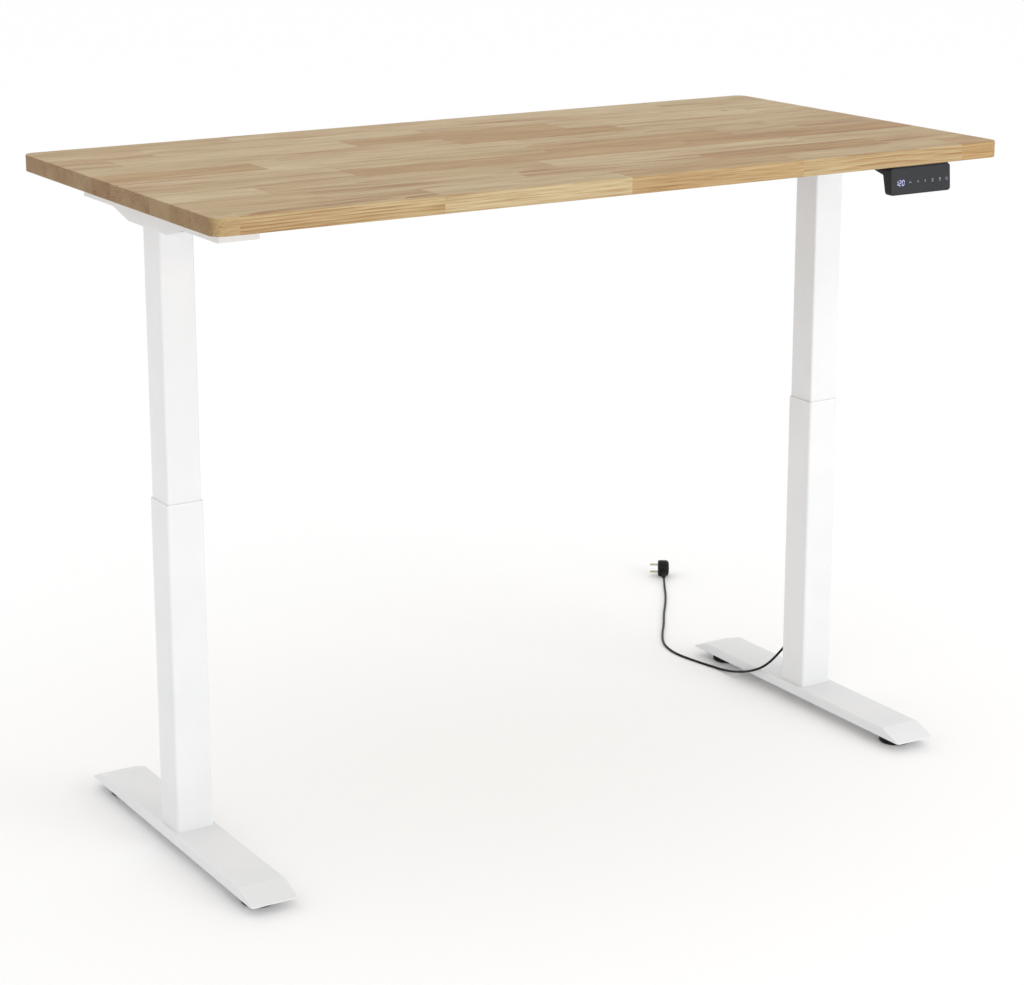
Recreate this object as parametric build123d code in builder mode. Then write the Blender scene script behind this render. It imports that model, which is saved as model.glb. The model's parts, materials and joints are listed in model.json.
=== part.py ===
from build123d import *
import math
import os

# Height adjustable standing desk, shown fully raised.
# Millimetres. +X runs along the desktop to the user's right, +Y to the back, +Z up.
# The origin is on the floor, below the middle of the desktop.

# ---- Desktop -------------------------------------------------------------------------------
TOP_LENGTH = 1600.0
TOP_DEPTH = 800.0
TOP_THICKNESS = 30.0
TOP_CORNER_RADIUS = 22.0
TOP_EDGE_RADIUS = 1.5
HEIGHT_UP = 1200.0  # floor to the desktop's upper face

# ---- Legs ----------------------------------------------------------------------------------
LEG_INSET = 102.0  # desktop end to the leg's centre line
COLUMN_WIDTH = 70.0  # outer tube, square
COLUMN_WALL = 1.5
COLUMN_CORNER = 5.0
SLIDE_GAP = 1.0  # outer tube's bore to inner tube, each side
INNER_CORNER = 4.0
INNER_WALL = 1.5
RUNNING_GAP = 0.3  # glide bush to the tube that slides past it
LOWER_BUSH_LENGTH = 45.0
BUSH_SPACE = 5.0  # between the two bushes at full height
BUSH_RIM = 1.5
INNER_END_GAP = 11.0  # inner tube to base plate, fully lowered
STOP_GAP = 4.5  # bracket to outer tube, fully lowered
BASE_PLATE = 6.0

# ---- Feet ----------------------------------------------------------------------------------
FOOT_LENGTH = 680.0
FOOT_MARGIN = 8.0  # foot past the outer tube, each side
FOOT_SHIFT = -8.0  # the foot reaches a little further to the front
FOOT_TOP = 38.0
FOOT_BOTTOM = 19.0
FOOT_TIP = 2.0  # height of the blunt tip
FOOT_SLOPE = 51.0  # length of the sloped end
FOOT_SHEET = 3.0
FOOT_CORNER = 6.0
FOOT_BEND = 2.0
GLIDE_INSET = 62.0  # foot tip to glide centre
GLIDE_RADIUS = 30.0
GLIDE_EDGE = 1.5
GLIDE_RIM = 6.0
GLIDE_HEIGHT = 14.0
GLIDE_NECK = 13.0
STUD_RADIUS = 5.0
END_GAP = 2.0  # room past the end of a stud, screw or shaft
STUD_SEAT = 8.0  # depth of the stud in the pad
STUD_HEX = 14.0
STUD_HEX_HEIGHT = 4.0
WELD_NUT_WIDTH = 17.0
WELD_NUT_HEIGHT = 8.0
THREAD_FIT = 0.07  # radial, between turning threads

# ---- Frame under the desktop -----------------------------------------------------------------
BRACKET_MARGIN = 3.0  # bracket past the outer tube, each side
BRACKET_LENGTH = 552.0
BRACKET_SHEET = 2.5
BRACKET_END_DEPTH = 34.0
BRACKET_MIDDLE_DEPTH = 50.5
BRACKET_MIDDLE = 156.0  # length of the deep middle
BRACKET_TAPER = 65.0
BRACKET_CORNER = 4.0
COLLAR_SHEET = 2.5
EASY_GAP = 0.3  # room round a part that must drop in easily
HEAD_PLATE = 5.0
HEAD_PLATE_LENGTH = 140.0
HEAD_PLATE_GAP = 0.5
HEAD_PLATE_BORE = 15.0
RAIL_WIDTH = 40.0
RAIL_HEIGHT = 30.0
RAIL_WALL = 1.5
RAIL_END = 4.0
RAIL_OFFSET = 95.0  # rail centre line from the leg's centre line
RAIL_DROP = 7.0  # desktop underside to rail

# ---- Fasteners -----------------------------------------------------------------------------
BOLT_RADIUS = 4.0
BOLT_HEAD_RADIUS = 6.5
BOLT_HEAD = 5.0
BOLT_SOCKET = 6.0  # hexagon socket, across flats
BOLT_SOCKET_DEPTH = 2.5
BOLT_GAP = 0.1
SCREW_RADIUS = 2.2
SCREW_HEAD_RADIUS = 5.0
SCREW_HEAD = 3.0
SCREW_BITE = 20.0  # depth in the wood
SCREW_SLOT = 3.5
SCREW_SLOT_DEPTH = 1.4
FOOT_BOLT_PITCH = 44.0
HEAD_BOLT_PITCH_X = 46.0
HEAD_BOLT_PITCH_Y = 112.0
RAIL_BOLT_PITCH = 20.0
BRACKET_SCREW_NEAR = 130.0
BRACKET_SCREW_FAR = 250.0

# ---- Lifting drive in each column --------------------------------------------------------------
MOTOR_RADIUS = 26.0
CASE_EDGE = 1.5
BELL_STEP = 2.0
BELL_NOTCHES = 6
BELL_NOTCH_RADIUS = 2.5
MOTOR_LENGTH = 76.0
MOTOR_GAP = 2.5
GEARBOX_RADIUS = 28.0
GEARBOX_LENGTH = 46.0
MOUNT_THICKNESS = 8.0
BEARING_RADIUS = 13.0
BEARING_RACE = 2.0
BALL_COUNT = 8
SPINDLE_RADIUS = 7.0
JOURNAL_RADIUS = 5.0
JOURNAL_FIT = 0.05
JOURNAL_DEPTH = 18.0  # reach into the gearbox
SPINDLE_COLLAR_RADIUS = 6.9
SPINDLE_COLLAR = 4.0
NUT_LENGTH = 24.0
NUT_RADIUS = 10.0
NUT_FLANGE_RADIUS = 15.0
NUT_FLANGE = 6.0
NUT_TUBE_WALL = 3.0
NUT_TUBE_FLANGE_RADIUS = 20.0
NUT_TUBE_FLANGE = 3.0
THREAD_RUNOUT = 4.0
SPINDLE_END_GAP = 4.0

# ---- Control box -----------------------------------------------------------------------------
BOX_LENGTH = 280.0
BOX_WIDTH = 112.0
BOX_DEPTH = 38.0
POST_INSET = 12.0
TRANSFORMER_X = -70.0
TRANSFORMER_LENGTH = 44.0
TRANSFORMER_WIDTH = 38.0
CAPACITOR_PLACES = ((-20.0, -15.0), (5.0, -15.0))
CAPACITOR_RADIUS = 8.0
TALL_PARTS = 18.0  # height of the transformer and the capacitors
BOX_CENTRE_X = 150.0
BOX_WALL = 2.5
BOX_LID = 4.0
BOX_CORNER = 6.0
BOX_EAR = 22.0
BOX_BOSS_RADIUS = 5.0
BOARD_THICKNESS = 1.6
BOARD_MARGIN = 3.0
BOARD_LIFT = 10.0
SOCKET_HEIGHT = 14.0
SOCKET_DEPTH = 16.0
INLET_WIDTH = 22.0
PORT_WIDTH = 16.0
PORT_PITCH = 26.0
SOCKET_WALL = 1.5

# ---- Handset -----------------------------------------------------------------------------------
HANDSET_LENGTH = 141.0
HANDSET_INSET = 186.5  # desktop end to the handset's middle
HANDSET_FACE = 50.0  # height of the face
HANDSET_LEAN = 3.5  # the face's lower edge stands forward
HANDSET_FOOT = 16.0  # thickness at the lower edge
HANDSET_NECK = 24.0  # thickness under the wedge
HANDSET_REACH = 0.52  # share of the room between neck and bracket that the wedge takes up
HANDSET_WEDGE_RISE = 13.0
HANDSET_NECK_DEPTH = 14.0  # housing top to neck
HANDSET_WALL = 2.0
HANDSET_ROUND = 6.0  # corners of the face, seen from the front
HANDSET_EDGE = 1.8  # soft edge round the face
HANDSET_EARS = 36.0  # how much longer the plate is than the housing
HANDSET_EAR_WIDTH = 20.0
HANDSET_EAR_CORNER = 5.0
HANDSET_SCREW_INSET = 12.0
LAMP_LENGTH = 24.0
LAMP_HEIGHT = 12.0
LAMP_MARGIN = 4.0
HANDSET_PLATE = 2.0
PANEL_THICKNESS = 1.2
PANEL_MARGIN = 2.5
DISPLAY_LENGTH = 120.0
DISPLAY_HEIGHT = 18.0

# ---- Mains lead --------------------------------------------------------------------------------
CORD_RADIUS = 2.5
ANCHOR_HEIGHT = 127.0
ANCHOR_WIDTH = 44.0
ANCHOR_TALL = 24.0
ANCHOR_DEPTH = 7.0
ANCHOR_CORNER = 4.0
ANCHOR_SCREW_RADIUS = 1.6
ANCHOR_SCREW_HEAD_RADIUS = 3.2
ANCHOR_SCREW_HEAD = 1.6
ANCHOR_SCREW_PITCH = 32.0
BOOT_LENGTH = 30.0
BOOT_ROOT_RADIUS = 6.5
BOOT_ROOT_DEPTH = 2.0
BOOT_TIP_RADIUS = 3.8
PLUG_RADIUS = 19.0
PLUG_LENGTH = 26.0
PLUG_EDGE = 3.5
PLUG_CROWN = 8.0  # rounding of the back
BOOT_LAP = 4.0
BOOT_RIB = 1.0
BOOT_RIB_WIDTH = 2.0
PLUG_PIN_RADIUS = 2.4
PLUG_PIN_LENGTH = 19.0
PLUG_PIN_PITCH = 19.0
PLUG_BOOT_LENGTH = 28.0
PLUG_BOOT_RADIUS = 6.5
PLUG_BOOT_RIBS = 4

# ---- Levels and places that follow from the above ----------------------------------------------
LEG_X = TOP_LENGTH / 2 - LEG_INSET
SIDES = {"left": -LEG_X, "right": LEG_X}
UNDERSIDE = HEIGHT_UP - TOP_THICKNESS
INNER_WIDTH = COLUMN_WIDTH - 2 * (COLUMN_WALL + SLIDE_GAP)
INNER_BORE = INNER_WIDTH - 2 * INNER_WALL
BRACKET_BOTTOM = UNDERSIDE - BRACKET_MIDDLE_DEPTH
HEAD_PLATE_TOP = UNDERSIDE - BRACKET_SHEET
HEAD_PLATE_BOTTOM = HEAD_PLATE_TOP - HEAD_PLATE
BASE_PLATE_TOP = FOOT_TOP + BASE_PLATE
GEARBOX_TOP = HEAD_PLATE_BOTTOM - MOTOR_GAP - MOTOR_LENGTH
GEARBOX_BOTTOM = GEARBOX_TOP - GEARBOX_LENGTH
MOUNT_BOTTOM = GEARBOX_BOTTOM - MOUNT_THICKNESS
DRIVE_REACH = MOUNT_BOTTOM - BASE_PLATE_TOP - NUT_LENGTH - THREAD_RUNOUT - 2 * SPINDLE_END_GAP
LIFT_TRAVEL = DRIVE_REACH / 2
COLUMN_TOP = BRACKET_BOTTOM - STOP_GAP - LIFT_TRAVEL  # the visible seam, bush rim included
INNER_BOTTOM = BASE_PLATE_TOP + INNER_END_GAP + LIFT_TRAVEL
SPINDLE_BOTTOM = BASE_PLATE_TOP + SPINDLE_END_GAP + LIFT_TRAVEL
NUT_TOP = SPINDLE_BOTTOM + THREAD_RUNOUT + NUT_LENGTH
NUT_TUBE_TOP = NUT_TOP - NUT_FLANGE
UPPER_BUSH_BOTTOM = INNER_BOTTOM + LOWER_BUSH_LENGTH + BUSH_SPACE
FOOT_WIDTH = COLUMN_WIDTH + 2 * FOOT_MARGIN
BRACKET_WIDTH = COLUMN_WIDTH + 2 * BRACKET_MARGIN
GLIDE_OFFSET = FOOT_LENGTH / 2 - GLIDE_INSET
GLIDES = {"front": FOOT_SHIFT - GLIDE_OFFSET, "rear": FOOT_SHIFT + GLIDE_OFFSET}
RAIL_TOP = UNDERSIDE - RAIL_DROP
RAIL_LENGTH = 2 * LEG_X - BRACKET_WIDTH
HANDSET_X = TOP_LENGTH / 2 - HANDSET_INSET
HANDSET_FRONT = -TOP_DEPTH / 2
HANDSET_WEDGE = HANDSET_REACH * ((TOP_DEPTH - BRACKET_LENGTH) / 2 - HANDSET_NECK)
HANDSET_TOP = UNDERSIDE - HANDSET_PLATE
BRACKET_SCREWS = [-BRACKET_SCREW_FAR, -BRACKET_SCREW_NEAR, BRACKET_SCREW_NEAR, BRACKET_SCREW_FAR]
BOX_TOP = UNDERSIDE - BOX_LID
BOX_EAR_X = BOX_LENGTH / 2 + BOX_EAR / 2
HANDSET_SCREW_Y = HANDSET_FRONT + HANDSET_NECK + HANDSET_WEDGE - HANDSET_SCREW_INSET
HANDSET_SCREW_X = HANDSET_LENGTH / 2 + HANDSET_EARS / 4

# Every wood screw that goes up into the desktop: its place and the thickness that it clamps.
WOOD_SCREWS = [(x, y, BRACKET_SHEET) for x in SIDES.values() for y in BRACKET_SCREWS]
WOOD_SCREWS += [(BOX_CENTRE_X + s * BOX_EAR_X, 0.0, BOX_LID) for s in (-1, 1)]
WOOD_SCREWS += [(HANDSET_X + s * HANDSET_SCREW_X, HANDSET_SCREW_Y, HANDSET_PLATE) for s in (-1, 1)]

os.makedirs("parts", exist_ok=True)


def save(piece, name):
    """Label a finished piece and write it to parts/name.step."""
    piece.part.label = name
    export_step(piece.part, f"parts/{name}.step")


def mirrored(points):
    """Close a half outline, given for positive Y, with its mirror image."""
    return points + [(-y, z) for y, z in reversed(points)]


# ---- Desktop -------------------------------------------------------------------------------
with BuildPart() as desktop:
    with BuildSketch(Plane.XY.offset(UNDERSIDE)):
        RectangleRounded(TOP_LENGTH, TOP_DEPTH, TOP_CORNER_RADIUS)
    extrude(amount=TOP_THICKNESS)
    rims = desktop.edges().group_by(Axis.Z)
    fillet(rims[0] + rims[-1], TOP_EDGE_RADIUS)
    with BuildSketch(Plane.XY.offset(UNDERSIDE)):
        with Locations(*[(x, y) for x, y, _ in WOOD_SCREWS]):
            Circle(SCREW_RADIUS + BOLT_GAP)
    extrude(amount=SCREW_BITE + END_GAP, mode=Mode.SUBTRACT)
save(desktop, "desktop")

with BuildPart() as desktop_screws:
    for screw_x, screw_y, clamped in WOOD_SCREWS:
        seat = UNDERSIDE - clamped
        with BuildSketch(Plane.XY.offset(seat)):
            with Locations((screw_x, screw_y)):
                Circle(SCREW_RADIUS)
        extrude(amount=clamped + SCREW_BITE)
        with BuildSketch(Plane.XY.offset(seat)):
            with Locations((screw_x, screw_y)):
                Circle(SCREW_HEAD_RADIUS)
        extrude(amount=-SCREW_HEAD)
        with BuildSketch(Plane.XY.offset(seat - SCREW_HEAD)):
            with Locations((screw_x, screw_y)):
                RegularPolygon(SCREW_SLOT / 2, 6, major_radius=False)
        extrude(amount=SCREW_SLOT_DEPTH, mode=Mode.SUBTRACT)
save(desktop_screws, "desktop_screws")


# ---- Frame under the desktop -----------------------------------------------------------------
def bracket_outline():
    """Half outline of a side bracket, deep at the column and shallow towards its ends."""
    shallow = UNDERSIDE - BRACKET_END_DEPTH
    return [
        (BRACKET_LENGTH / 2, UNDERSIDE),
        (BRACKET_LENGTH / 2, shallow),
        (BRACKET_MIDDLE / 2 + BRACKET_TAPER, shallow),
        (BRACKET_MIDDLE / 2, BRACKET_BOTTOM),
    ]


def side_bracket(side, leg_x):
    """Folded channel that joins a column's head to the desktop, open at the bottom."""
    inward = -1 if leg_x > 0 else 1
    inner_width = BRACKET_WIDTH - 2 * BRACKET_SHEET
    with BuildPart() as bracket:
        with BuildSketch(Plane.YZ.offset(leg_x)):
            Polygon(*mirrored(bracket_outline()), align=None)
        extrude(amount=BRACKET_WIDTH / 2, both=True)
        fillet(bracket.edges().filter_by(Axis.Z), BRACKET_CORNER)
        with BuildSketch(Plane.XY.offset(UNDERSIDE - BRACKET_SHEET)):
            with Locations((leg_x, 0)):
                Rectangle(inner_width, BRACKET_LENGTH - 2 * BRACKET_SHEET)
        extrude(amount=-BRACKET_MIDDLE_DEPTH, mode=Mode.SUBTRACT)
        with BuildSketch(Plane.XY.offset(UNDERSIDE)):
            with Locations((leg_x, 0)):
                with GridLocations(HEAD_BOLT_PITCH_X, HEAD_BOLT_PITCH_Y, 2, 2):
                    Circle(BOLT_RADIUS)
            with Locations(*[(leg_x, y) for y in BRACKET_SCREWS]):
                Circle(SCREW_RADIUS + EASY_GAP)
        extrude(amount=-BRACKET_SHEET, mode=Mode.SUBTRACT)
        wall_face = leg_x + inward * BRACKET_WIDTH / 2
        with BuildSketch(Plane.YZ.offset(wall_face)):
            for rail_y in (-RAIL_OFFSET, RAIL_OFFSET):
                with Locations((rail_y, RAIL_TOP - RAIL_HEIGHT / 2)):
                    with GridLocations(RAIL_BOLT_PITCH, 0, 2, 1):
                        Circle(BOLT_RADIUS + BOLT_GAP)
        extrude(amount=-inward * BRACKET_SHEET, mode=Mode.SUBTRACT)
    save(bracket, f"{side}_side_bracket")


def collar_plate(side, leg_x):
    """Plate that closes the bracket's deep middle around the inner column."""
    hole = INNER_WIDTH + 2 * EASY_GAP
    with BuildPart() as collar:
        with BuildSketch(Plane.XY.offset(BRACKET_BOTTOM)):
            with Locations((leg_x, 0)):
                Rectangle(BRACKET_WIDTH - 2 * BRACKET_SHEET, BRACKET_MIDDLE)
                RectangleRounded(hole, hole, INNER_CORNER, mode=Mode.SUBTRACT)
        extrude(amount=COLLAR_SHEET)
    save(collar, f"{side}_collar_plate")


def cross_rail(place, rail_y):
    """Square tube with a tapped plate welded in each end, between the two brackets."""
    middle = RAIL_TOP - RAIL_HEIGHT / 2
    with BuildPart() as rail:
        with BuildSketch(Plane.YZ):
            with Locations((rail_y, middle)):
                RectangleRounded(RAIL_WIDTH, RAIL_HEIGHT, 2 * RAIL_WALL)
        extrude(amount=RAIL_LENGTH / 2, both=True)
        with BuildSketch(Plane.YZ):
            with Locations((rail_y, middle)):
                RectangleRounded(RAIL_WIDTH - 2 * RAIL_WALL, RAIL_HEIGHT - 2 * RAIL_WALL, RAIL_WALL)
        extrude(amount=RAIL_LENGTH / 2 - RAIL_END, both=True, mode=Mode.SUBTRACT)
        with BuildSketch(Plane.YZ):
            with Locations((rail_y, middle)):
                with GridLocations(RAIL_BOLT_PITCH, 0, 2, 1):
                    Circle(BOLT_RADIUS)
        extrude(amount=RAIL_LENGTH / 2, both=True, mode=Mode.SUBTRACT)
    save(rail, f"{place}_cross_rail")


for side_name, side_x in SIDES.items():
    side_bracket(side_name, side_x)
    collar_plate(side_name, side_x)
cross_rail("front", -RAIL_OFFSET)
cross_rail("rear", RAIL_OFFSET)


def bolt(plane, length):
    """Socket-head bolt: its head stands on the plane and its shank runs along the normal."""
    with BuildSketch(plane) as shank:
        Circle(BOLT_RADIUS - BOLT_GAP)
    extrude(shank.sketch, amount=length)
    with BuildSketch(plane) as head:
        Circle(BOLT_HEAD_RADIUS)
    extrude(head.sketch, amount=-BOLT_HEAD)
    with BuildSketch(plane.offset(-BOLT_HEAD)) as key_socket:
        RegularPolygon(BOLT_SOCKET / 2, 6, major_radius=False)
    extrude(key_socket.sketch, amount=BOLT_SOCKET_DEPTH, mode=Mode.SUBTRACT)


with BuildPart() as frame_bolts:
    for side_x in SIDES.values():
        for bolt_x in (-HEAD_BOLT_PITCH_X / 2, HEAD_BOLT_PITCH_X / 2):
            for bolt_y in (-HEAD_BOLT_PITCH_Y / 2, HEAD_BOLT_PITCH_Y / 2):
                head_seat = Plane((side_x + bolt_x, bolt_y, HEAD_PLATE_BOTTOM))
                bolt(head_seat, HEAD_PLATE + BRACKET_SHEET - BOLT_GAP)
        inward = -1 if side_x > 0 else 1
        wall_seat = side_x + inward * (BRACKET_WIDTH / 2 - BRACKET_SHEET)
        for rail_y in (-RAIL_OFFSET, RAIL_OFFSET):
            for bolt_y in (-RAIL_BOLT_PITCH / 2, RAIL_BOLT_PITCH / 2):
                seat_point = (wall_seat, rail_y + bolt_y, RAIL_TOP - RAIL_HEIGHT / 2)
                bolt(Plane(seat_point, z_dir=(inward, 0, 0)), BRACKET_SHEET + 2 * RAIL_END)
save(frame_bolts, "frame_bolts")


# ---- Columns ---------------------------------------------------------------------------------
def square_tube(leg_x, width, corner, wall, bottom, top):
    """Square tube standing on the level bottom, added to the piece being built."""
    with BuildSketch(Plane.XY.offset(bottom)) as section:
        with Locations((leg_x, 0)):
            RectangleRounded(width, width, corner)
            RectangleRounded(width - 2 * wall, width - 2 * wall, corner - wall, mode=Mode.SUBTRACT)
    extrude(section.sketch, amount=top - bottom)


def outer_column(side, leg_x):
    """Lower column tube with its tapped base plate welded in."""
    bore = COLUMN_WIDTH - 2 * COLUMN_WALL
    with BuildPart() as column:
        square_tube(leg_x, COLUMN_WIDTH, COLUMN_CORNER, COLUMN_WALL, FOOT_TOP, COLUMN_TOP - BUSH_RIM)
        with BuildSketch(Plane.XY.offset(FOOT_TOP)):
            with Locations((leg_x, 0)):
                RectangleRounded(bore, bore, COLUMN_CORNER - COLUMN_WALL)
                with GridLocations(FOOT_BOLT_PITCH, FOOT_BOLT_PITCH, 2, 2):
                    Circle(BOLT_RADIUS, mode=Mode.SUBTRACT)
        extrude(amount=BASE_PLATE)
        if side == "right":
            with BuildSketch(Plane.XZ.offset(-COLUMN_WIDTH / 2)):
                with Locations((leg_x, ANCHOR_HEIGHT)):
                    with GridLocations(ANCHOR_SCREW_PITCH, 0, 2, 1):
                        Circle(ANCHOR_SCREW_RADIUS)
            extrude(amount=COLUMN_WALL, mode=Mode.SUBTRACT)
    save(column, f"{side}_outer_column")


def upper_bush(side, leg_x):
    """Plastic sleeve in the outer tube's mouth, with a rim that caps the tube's edge."""
    bore = COLUMN_WIDTH - 2 * COLUMN_WALL
    wall = SLIDE_GAP - RUNNING_GAP
    tube_end = COLUMN_TOP - BUSH_RIM
    with BuildPart() as bush:
        square_tube(leg_x, bore, COLUMN_CORNER - COLUMN_WALL, wall, UPPER_BUSH_BOTTOM, tube_end)
        with BuildSketch(Plane.XY.offset(tube_end)):
            with Locations((leg_x, 0)):
                RectangleRounded(COLUMN_WIDTH, COLUMN_WIDTH, COLUMN_CORNER)
                opening = bore - 2 * wall
                corner = COLUMN_CORNER - COLUMN_WALL - wall
                RectangleRounded(opening, opening, corner, mode=Mode.SUBTRACT)
        extrude(amount=BUSH_RIM)
    save(bush, f"{side}_upper_bush")


def lower_bush(side, leg_x):
    """Plastic sleeve on the lower end of the inner tube."""
    wall = SLIDE_GAP - RUNNING_GAP
    width = INNER_WIDTH + 2 * wall
    with BuildPart() as bush:
        square_tube(leg_x, width, INNER_CORNER + wall, wall, INNER_BOTTOM, INNER_BOTTOM + LOWER_BUSH_LENGTH)
    save(bush, f"{side}_lower_bush")


def inner_column(side, leg_x):
    """Upper column tube with the head plate welded on, which the bracket is bolted to."""
    plate_width = BRACKET_WIDTH - 2 * BRACKET_SHEET - 2 * HEAD_PLATE_GAP
    with BuildPart() as column:
        square_tube(leg_x, INNER_WIDTH, INNER_CORNER, INNER_WALL, INNER_BOTTOM, HEAD_PLATE_BOTTOM)
        with BuildSketch(Plane.XY.offset(HEAD_PLATE_BOTTOM)):
            with Locations((leg_x, 0)):
                Rectangle(plate_width, HEAD_PLATE_LENGTH)
                Circle(HEAD_PLATE_BORE, mode=Mode.SUBTRACT)
                with GridLocations(HEAD_BOLT_PITCH_X, HEAD_BOLT_PITCH_Y, 2, 2):
                    Circle(BOLT_RADIUS, mode=Mode.SUBTRACT)
        extrude(amount=HEAD_PLATE)
    save(column, f"{side}_inner_column")


for side_name, side_x in SIDES.items():
    outer_column(side_name, side_x)
    upper_bush(side_name, side_x)
    inner_column(side_name, side_x)
    lower_bush(side_name, side_x)


# ---- Lifting drive ---------------------------------------------------------------------------
def disc(leg_x, radius, bottom, height, mode=Mode.ADD):
    """Upright cylinder on a column's axis, added to or cut from the piece being built."""
    with BuildSketch(Plane.XY.offset(bottom)) as section:
        with Locations((leg_x, 0)):
            Circle(radius)
    extrude(section.sketch, amount=height, mode=mode)


def nut_tube(side, leg_x):
    """Tube on the base plate that carries the drive nut and takes in the lowered spindle."""
    with BuildPart() as tube:
        disc(leg_x, NUT_TUBE_FLANGE_RADIUS, BASE_PLATE_TOP, NUT_TUBE_FLANGE)
        disc(leg_x, NUT_RADIUS + NUT_TUBE_WALL, BASE_PLATE_TOP, NUT_TUBE_TOP - BASE_PLATE_TOP)
        disc(leg_x, NUT_RADIUS, BASE_PLATE_TOP, NUT_TUBE_TOP - BASE_PLATE_TOP, Mode.SUBTRACT)
    save(tube, f"{side}_nut_tube")


def drive_nut(side, leg_x):
    """Flanged nut seated in the nut tube's top."""
    with BuildPart() as nut:
        disc(leg_x, NUT_RADIUS, NUT_TOP - NUT_LENGTH, NUT_LENGTH)
        disc(leg_x, NUT_FLANGE_RADIUS, NUT_TUBE_TOP, NUT_FLANGE)
        disc(leg_x, SPINDLE_RADIUS + THREAD_FIT, NUT_TOP - NUT_LENGTH, NUT_LENGTH, Mode.SUBTRACT)
    save(nut, f"{side}_drive_nut")


def lead_screw(side, leg_x):
    """Spindle: threaded length, shoulder under the bearing, and journal into the gearbox."""
    shoulder = MOUNT_BOTTOM - BOLT_GAP
    with BuildPart() as spindle:
        disc(leg_x, SPINDLE_RADIUS, SPINDLE_BOTTOM, shoulder - SPINDLE_COLLAR - SPINDLE_BOTTOM)
        chamfer(spindle.edges().group_by(Axis.Z)[0], 1.0)
        disc(leg_x, SPINDLE_COLLAR_RADIUS, shoulder - SPINDLE_COLLAR, SPINDLE_COLLAR)
        disc(leg_x, JOURNAL_RADIUS, shoulder, BOLT_GAP + MOUNT_THICKNESS + JOURNAL_DEPTH)
    save(spindle, f"{side}_lead_screw")


def motor_mount(side, leg_x):
    """Square plate fixed across the inner tube, bored for the spindle's bearing."""
    with BuildPart() as mount:
        with BuildSketch(Plane.XY.offset(MOUNT_BOTTOM)):
            with Locations((leg_x, 0)):
                RectangleRounded(INNER_BORE, INNER_BORE, INNER_CORNER - INNER_WALL)
                Circle(BEARING_RADIUS, mode=Mode.SUBTRACT)
        extrude(amount=MOUNT_THICKNESS)
    save(mount, f"{side}_motor_mount")


def screw_bearing(side, leg_x):
    """Ball bearing: two rings and the ring of balls between them."""
    bore = JOURNAL_RADIUS + JOURNAL_FIT
    inner_race = bore + BEARING_RACE
    outer_race = BEARING_RADIUS - BEARING_RACE
    ball_radius = (outer_race - inner_race) / 2
    with BuildPart() as bearing:
        disc(leg_x, BEARING_RADIUS, MOUNT_BOTTOM, MOUNT_THICKNESS)
        disc(leg_x, outer_race, MOUNT_BOTTOM, MOUNT_THICKNESS, Mode.SUBTRACT)
        disc(leg_x, inner_race, MOUNT_BOTTOM, MOUNT_THICKNESS)
        disc(leg_x, bore, MOUNT_BOTTOM, MOUNT_THICKNESS, Mode.SUBTRACT)
        with Locations((leg_x, 0, MOUNT_BOTTOM + MOUNT_THICKNESS / 2)):
            with PolarLocations(inner_race + ball_radius, BALL_COUNT):
                Sphere(ball_radius - BOLT_GAP)
    save(bearing, f"{side}_screw_bearing")


def gearbox(side, leg_x):
    """Planetary gearbox as a sealed unit, with a bore for the spindle's journal."""
    band = GEARBOX_LENGTH / 4
    with BuildPart() as box:
        disc(leg_x, GEARBOX_RADIUS, GEARBOX_BOTTOM, GEARBOX_LENGTH)
        disc(leg_x, GEARBOX_RADIUS + CASE_EDGE, GEARBOX_BOTTOM, band)
        chamfer(box.edges().group_by(Axis.Z)[-1], CASE_EDGE)
        bore = JOURNAL_RADIUS + JOURNAL_FIT
        disc(leg_x, bore, GEARBOX_BOTTOM, JOURNAL_DEPTH + END_GAP, Mode.SUBTRACT)
    save(box, f"{side}_gearbox")


def motor(side, leg_x):
    """Tubular motor as a sealed unit, with an end bell and a plug connector on top."""
    bell = MOTOR_LENGTH / 6
    with BuildPart() as unit:
        disc(leg_x, MOTOR_RADIUS, GEARBOX_TOP, MOTOR_LENGTH - bell)
        disc(leg_x, MOTOR_RADIUS - BELL_STEP, GEARBOX_TOP + MOTOR_LENGTH - bell, bell)
        chamfer(unit.edges().group_by(Axis.Z)[-1], BELL_STEP)
        with BuildSketch(Plane.XY.offset(GEARBOX_TOP + MOTOR_LENGTH - bell)):
            with Locations((leg_x, 0)):
                with PolarLocations(MOTOR_RADIUS - BELL_STEP, BELL_NOTCHES):
                    Circle(BELL_NOTCH_RADIUS)
        extrude(amount=bell, mode=Mode.SUBTRACT)
    save(unit, f"{side}_motor")


for side_name, side_x in SIDES.items():
    nut_tube(side_name, side_x)
    drive_nut(side_name, side_x)
    lead_screw(side_name, side_x)
    motor_mount(side_name, side_x)
    screw_bearing(side_name, side_x)
    gearbox(side_name, side_x)
    motor(side_name, side_x)


# ---- Feet and glides ---------------------------------------------------------------------------
def foot_outline(inset):
    """Half outline of the foot, or of its hollow when inset is the sheet's thickness."""
    corner_y = FOOT_LENGTH / 2 - FOOT_SLOPE
    slope = math.atan2(FOOT_TOP - FOOT_BOTTOM - FOOT_TIP, FOOT_SLOPE)
    top_y = corner_y - inset * math.tan(slope / 2)
    if inset == 0:
        tip_y = FOOT_LENGTH / 2
        return [(tip_y, FOOT_BOTTOM), (tip_y, FOOT_BOTTOM + FOOT_TIP), (top_y, FOOT_TOP)]
    toe_y = corner_y + (FOOT_TOP - FOOT_BOTTOM - inset / math.cos(slope)) / math.tan(slope)
    return [(toe_y, FOOT_BOTTOM), (top_y, FOOT_TOP - inset)]


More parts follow.
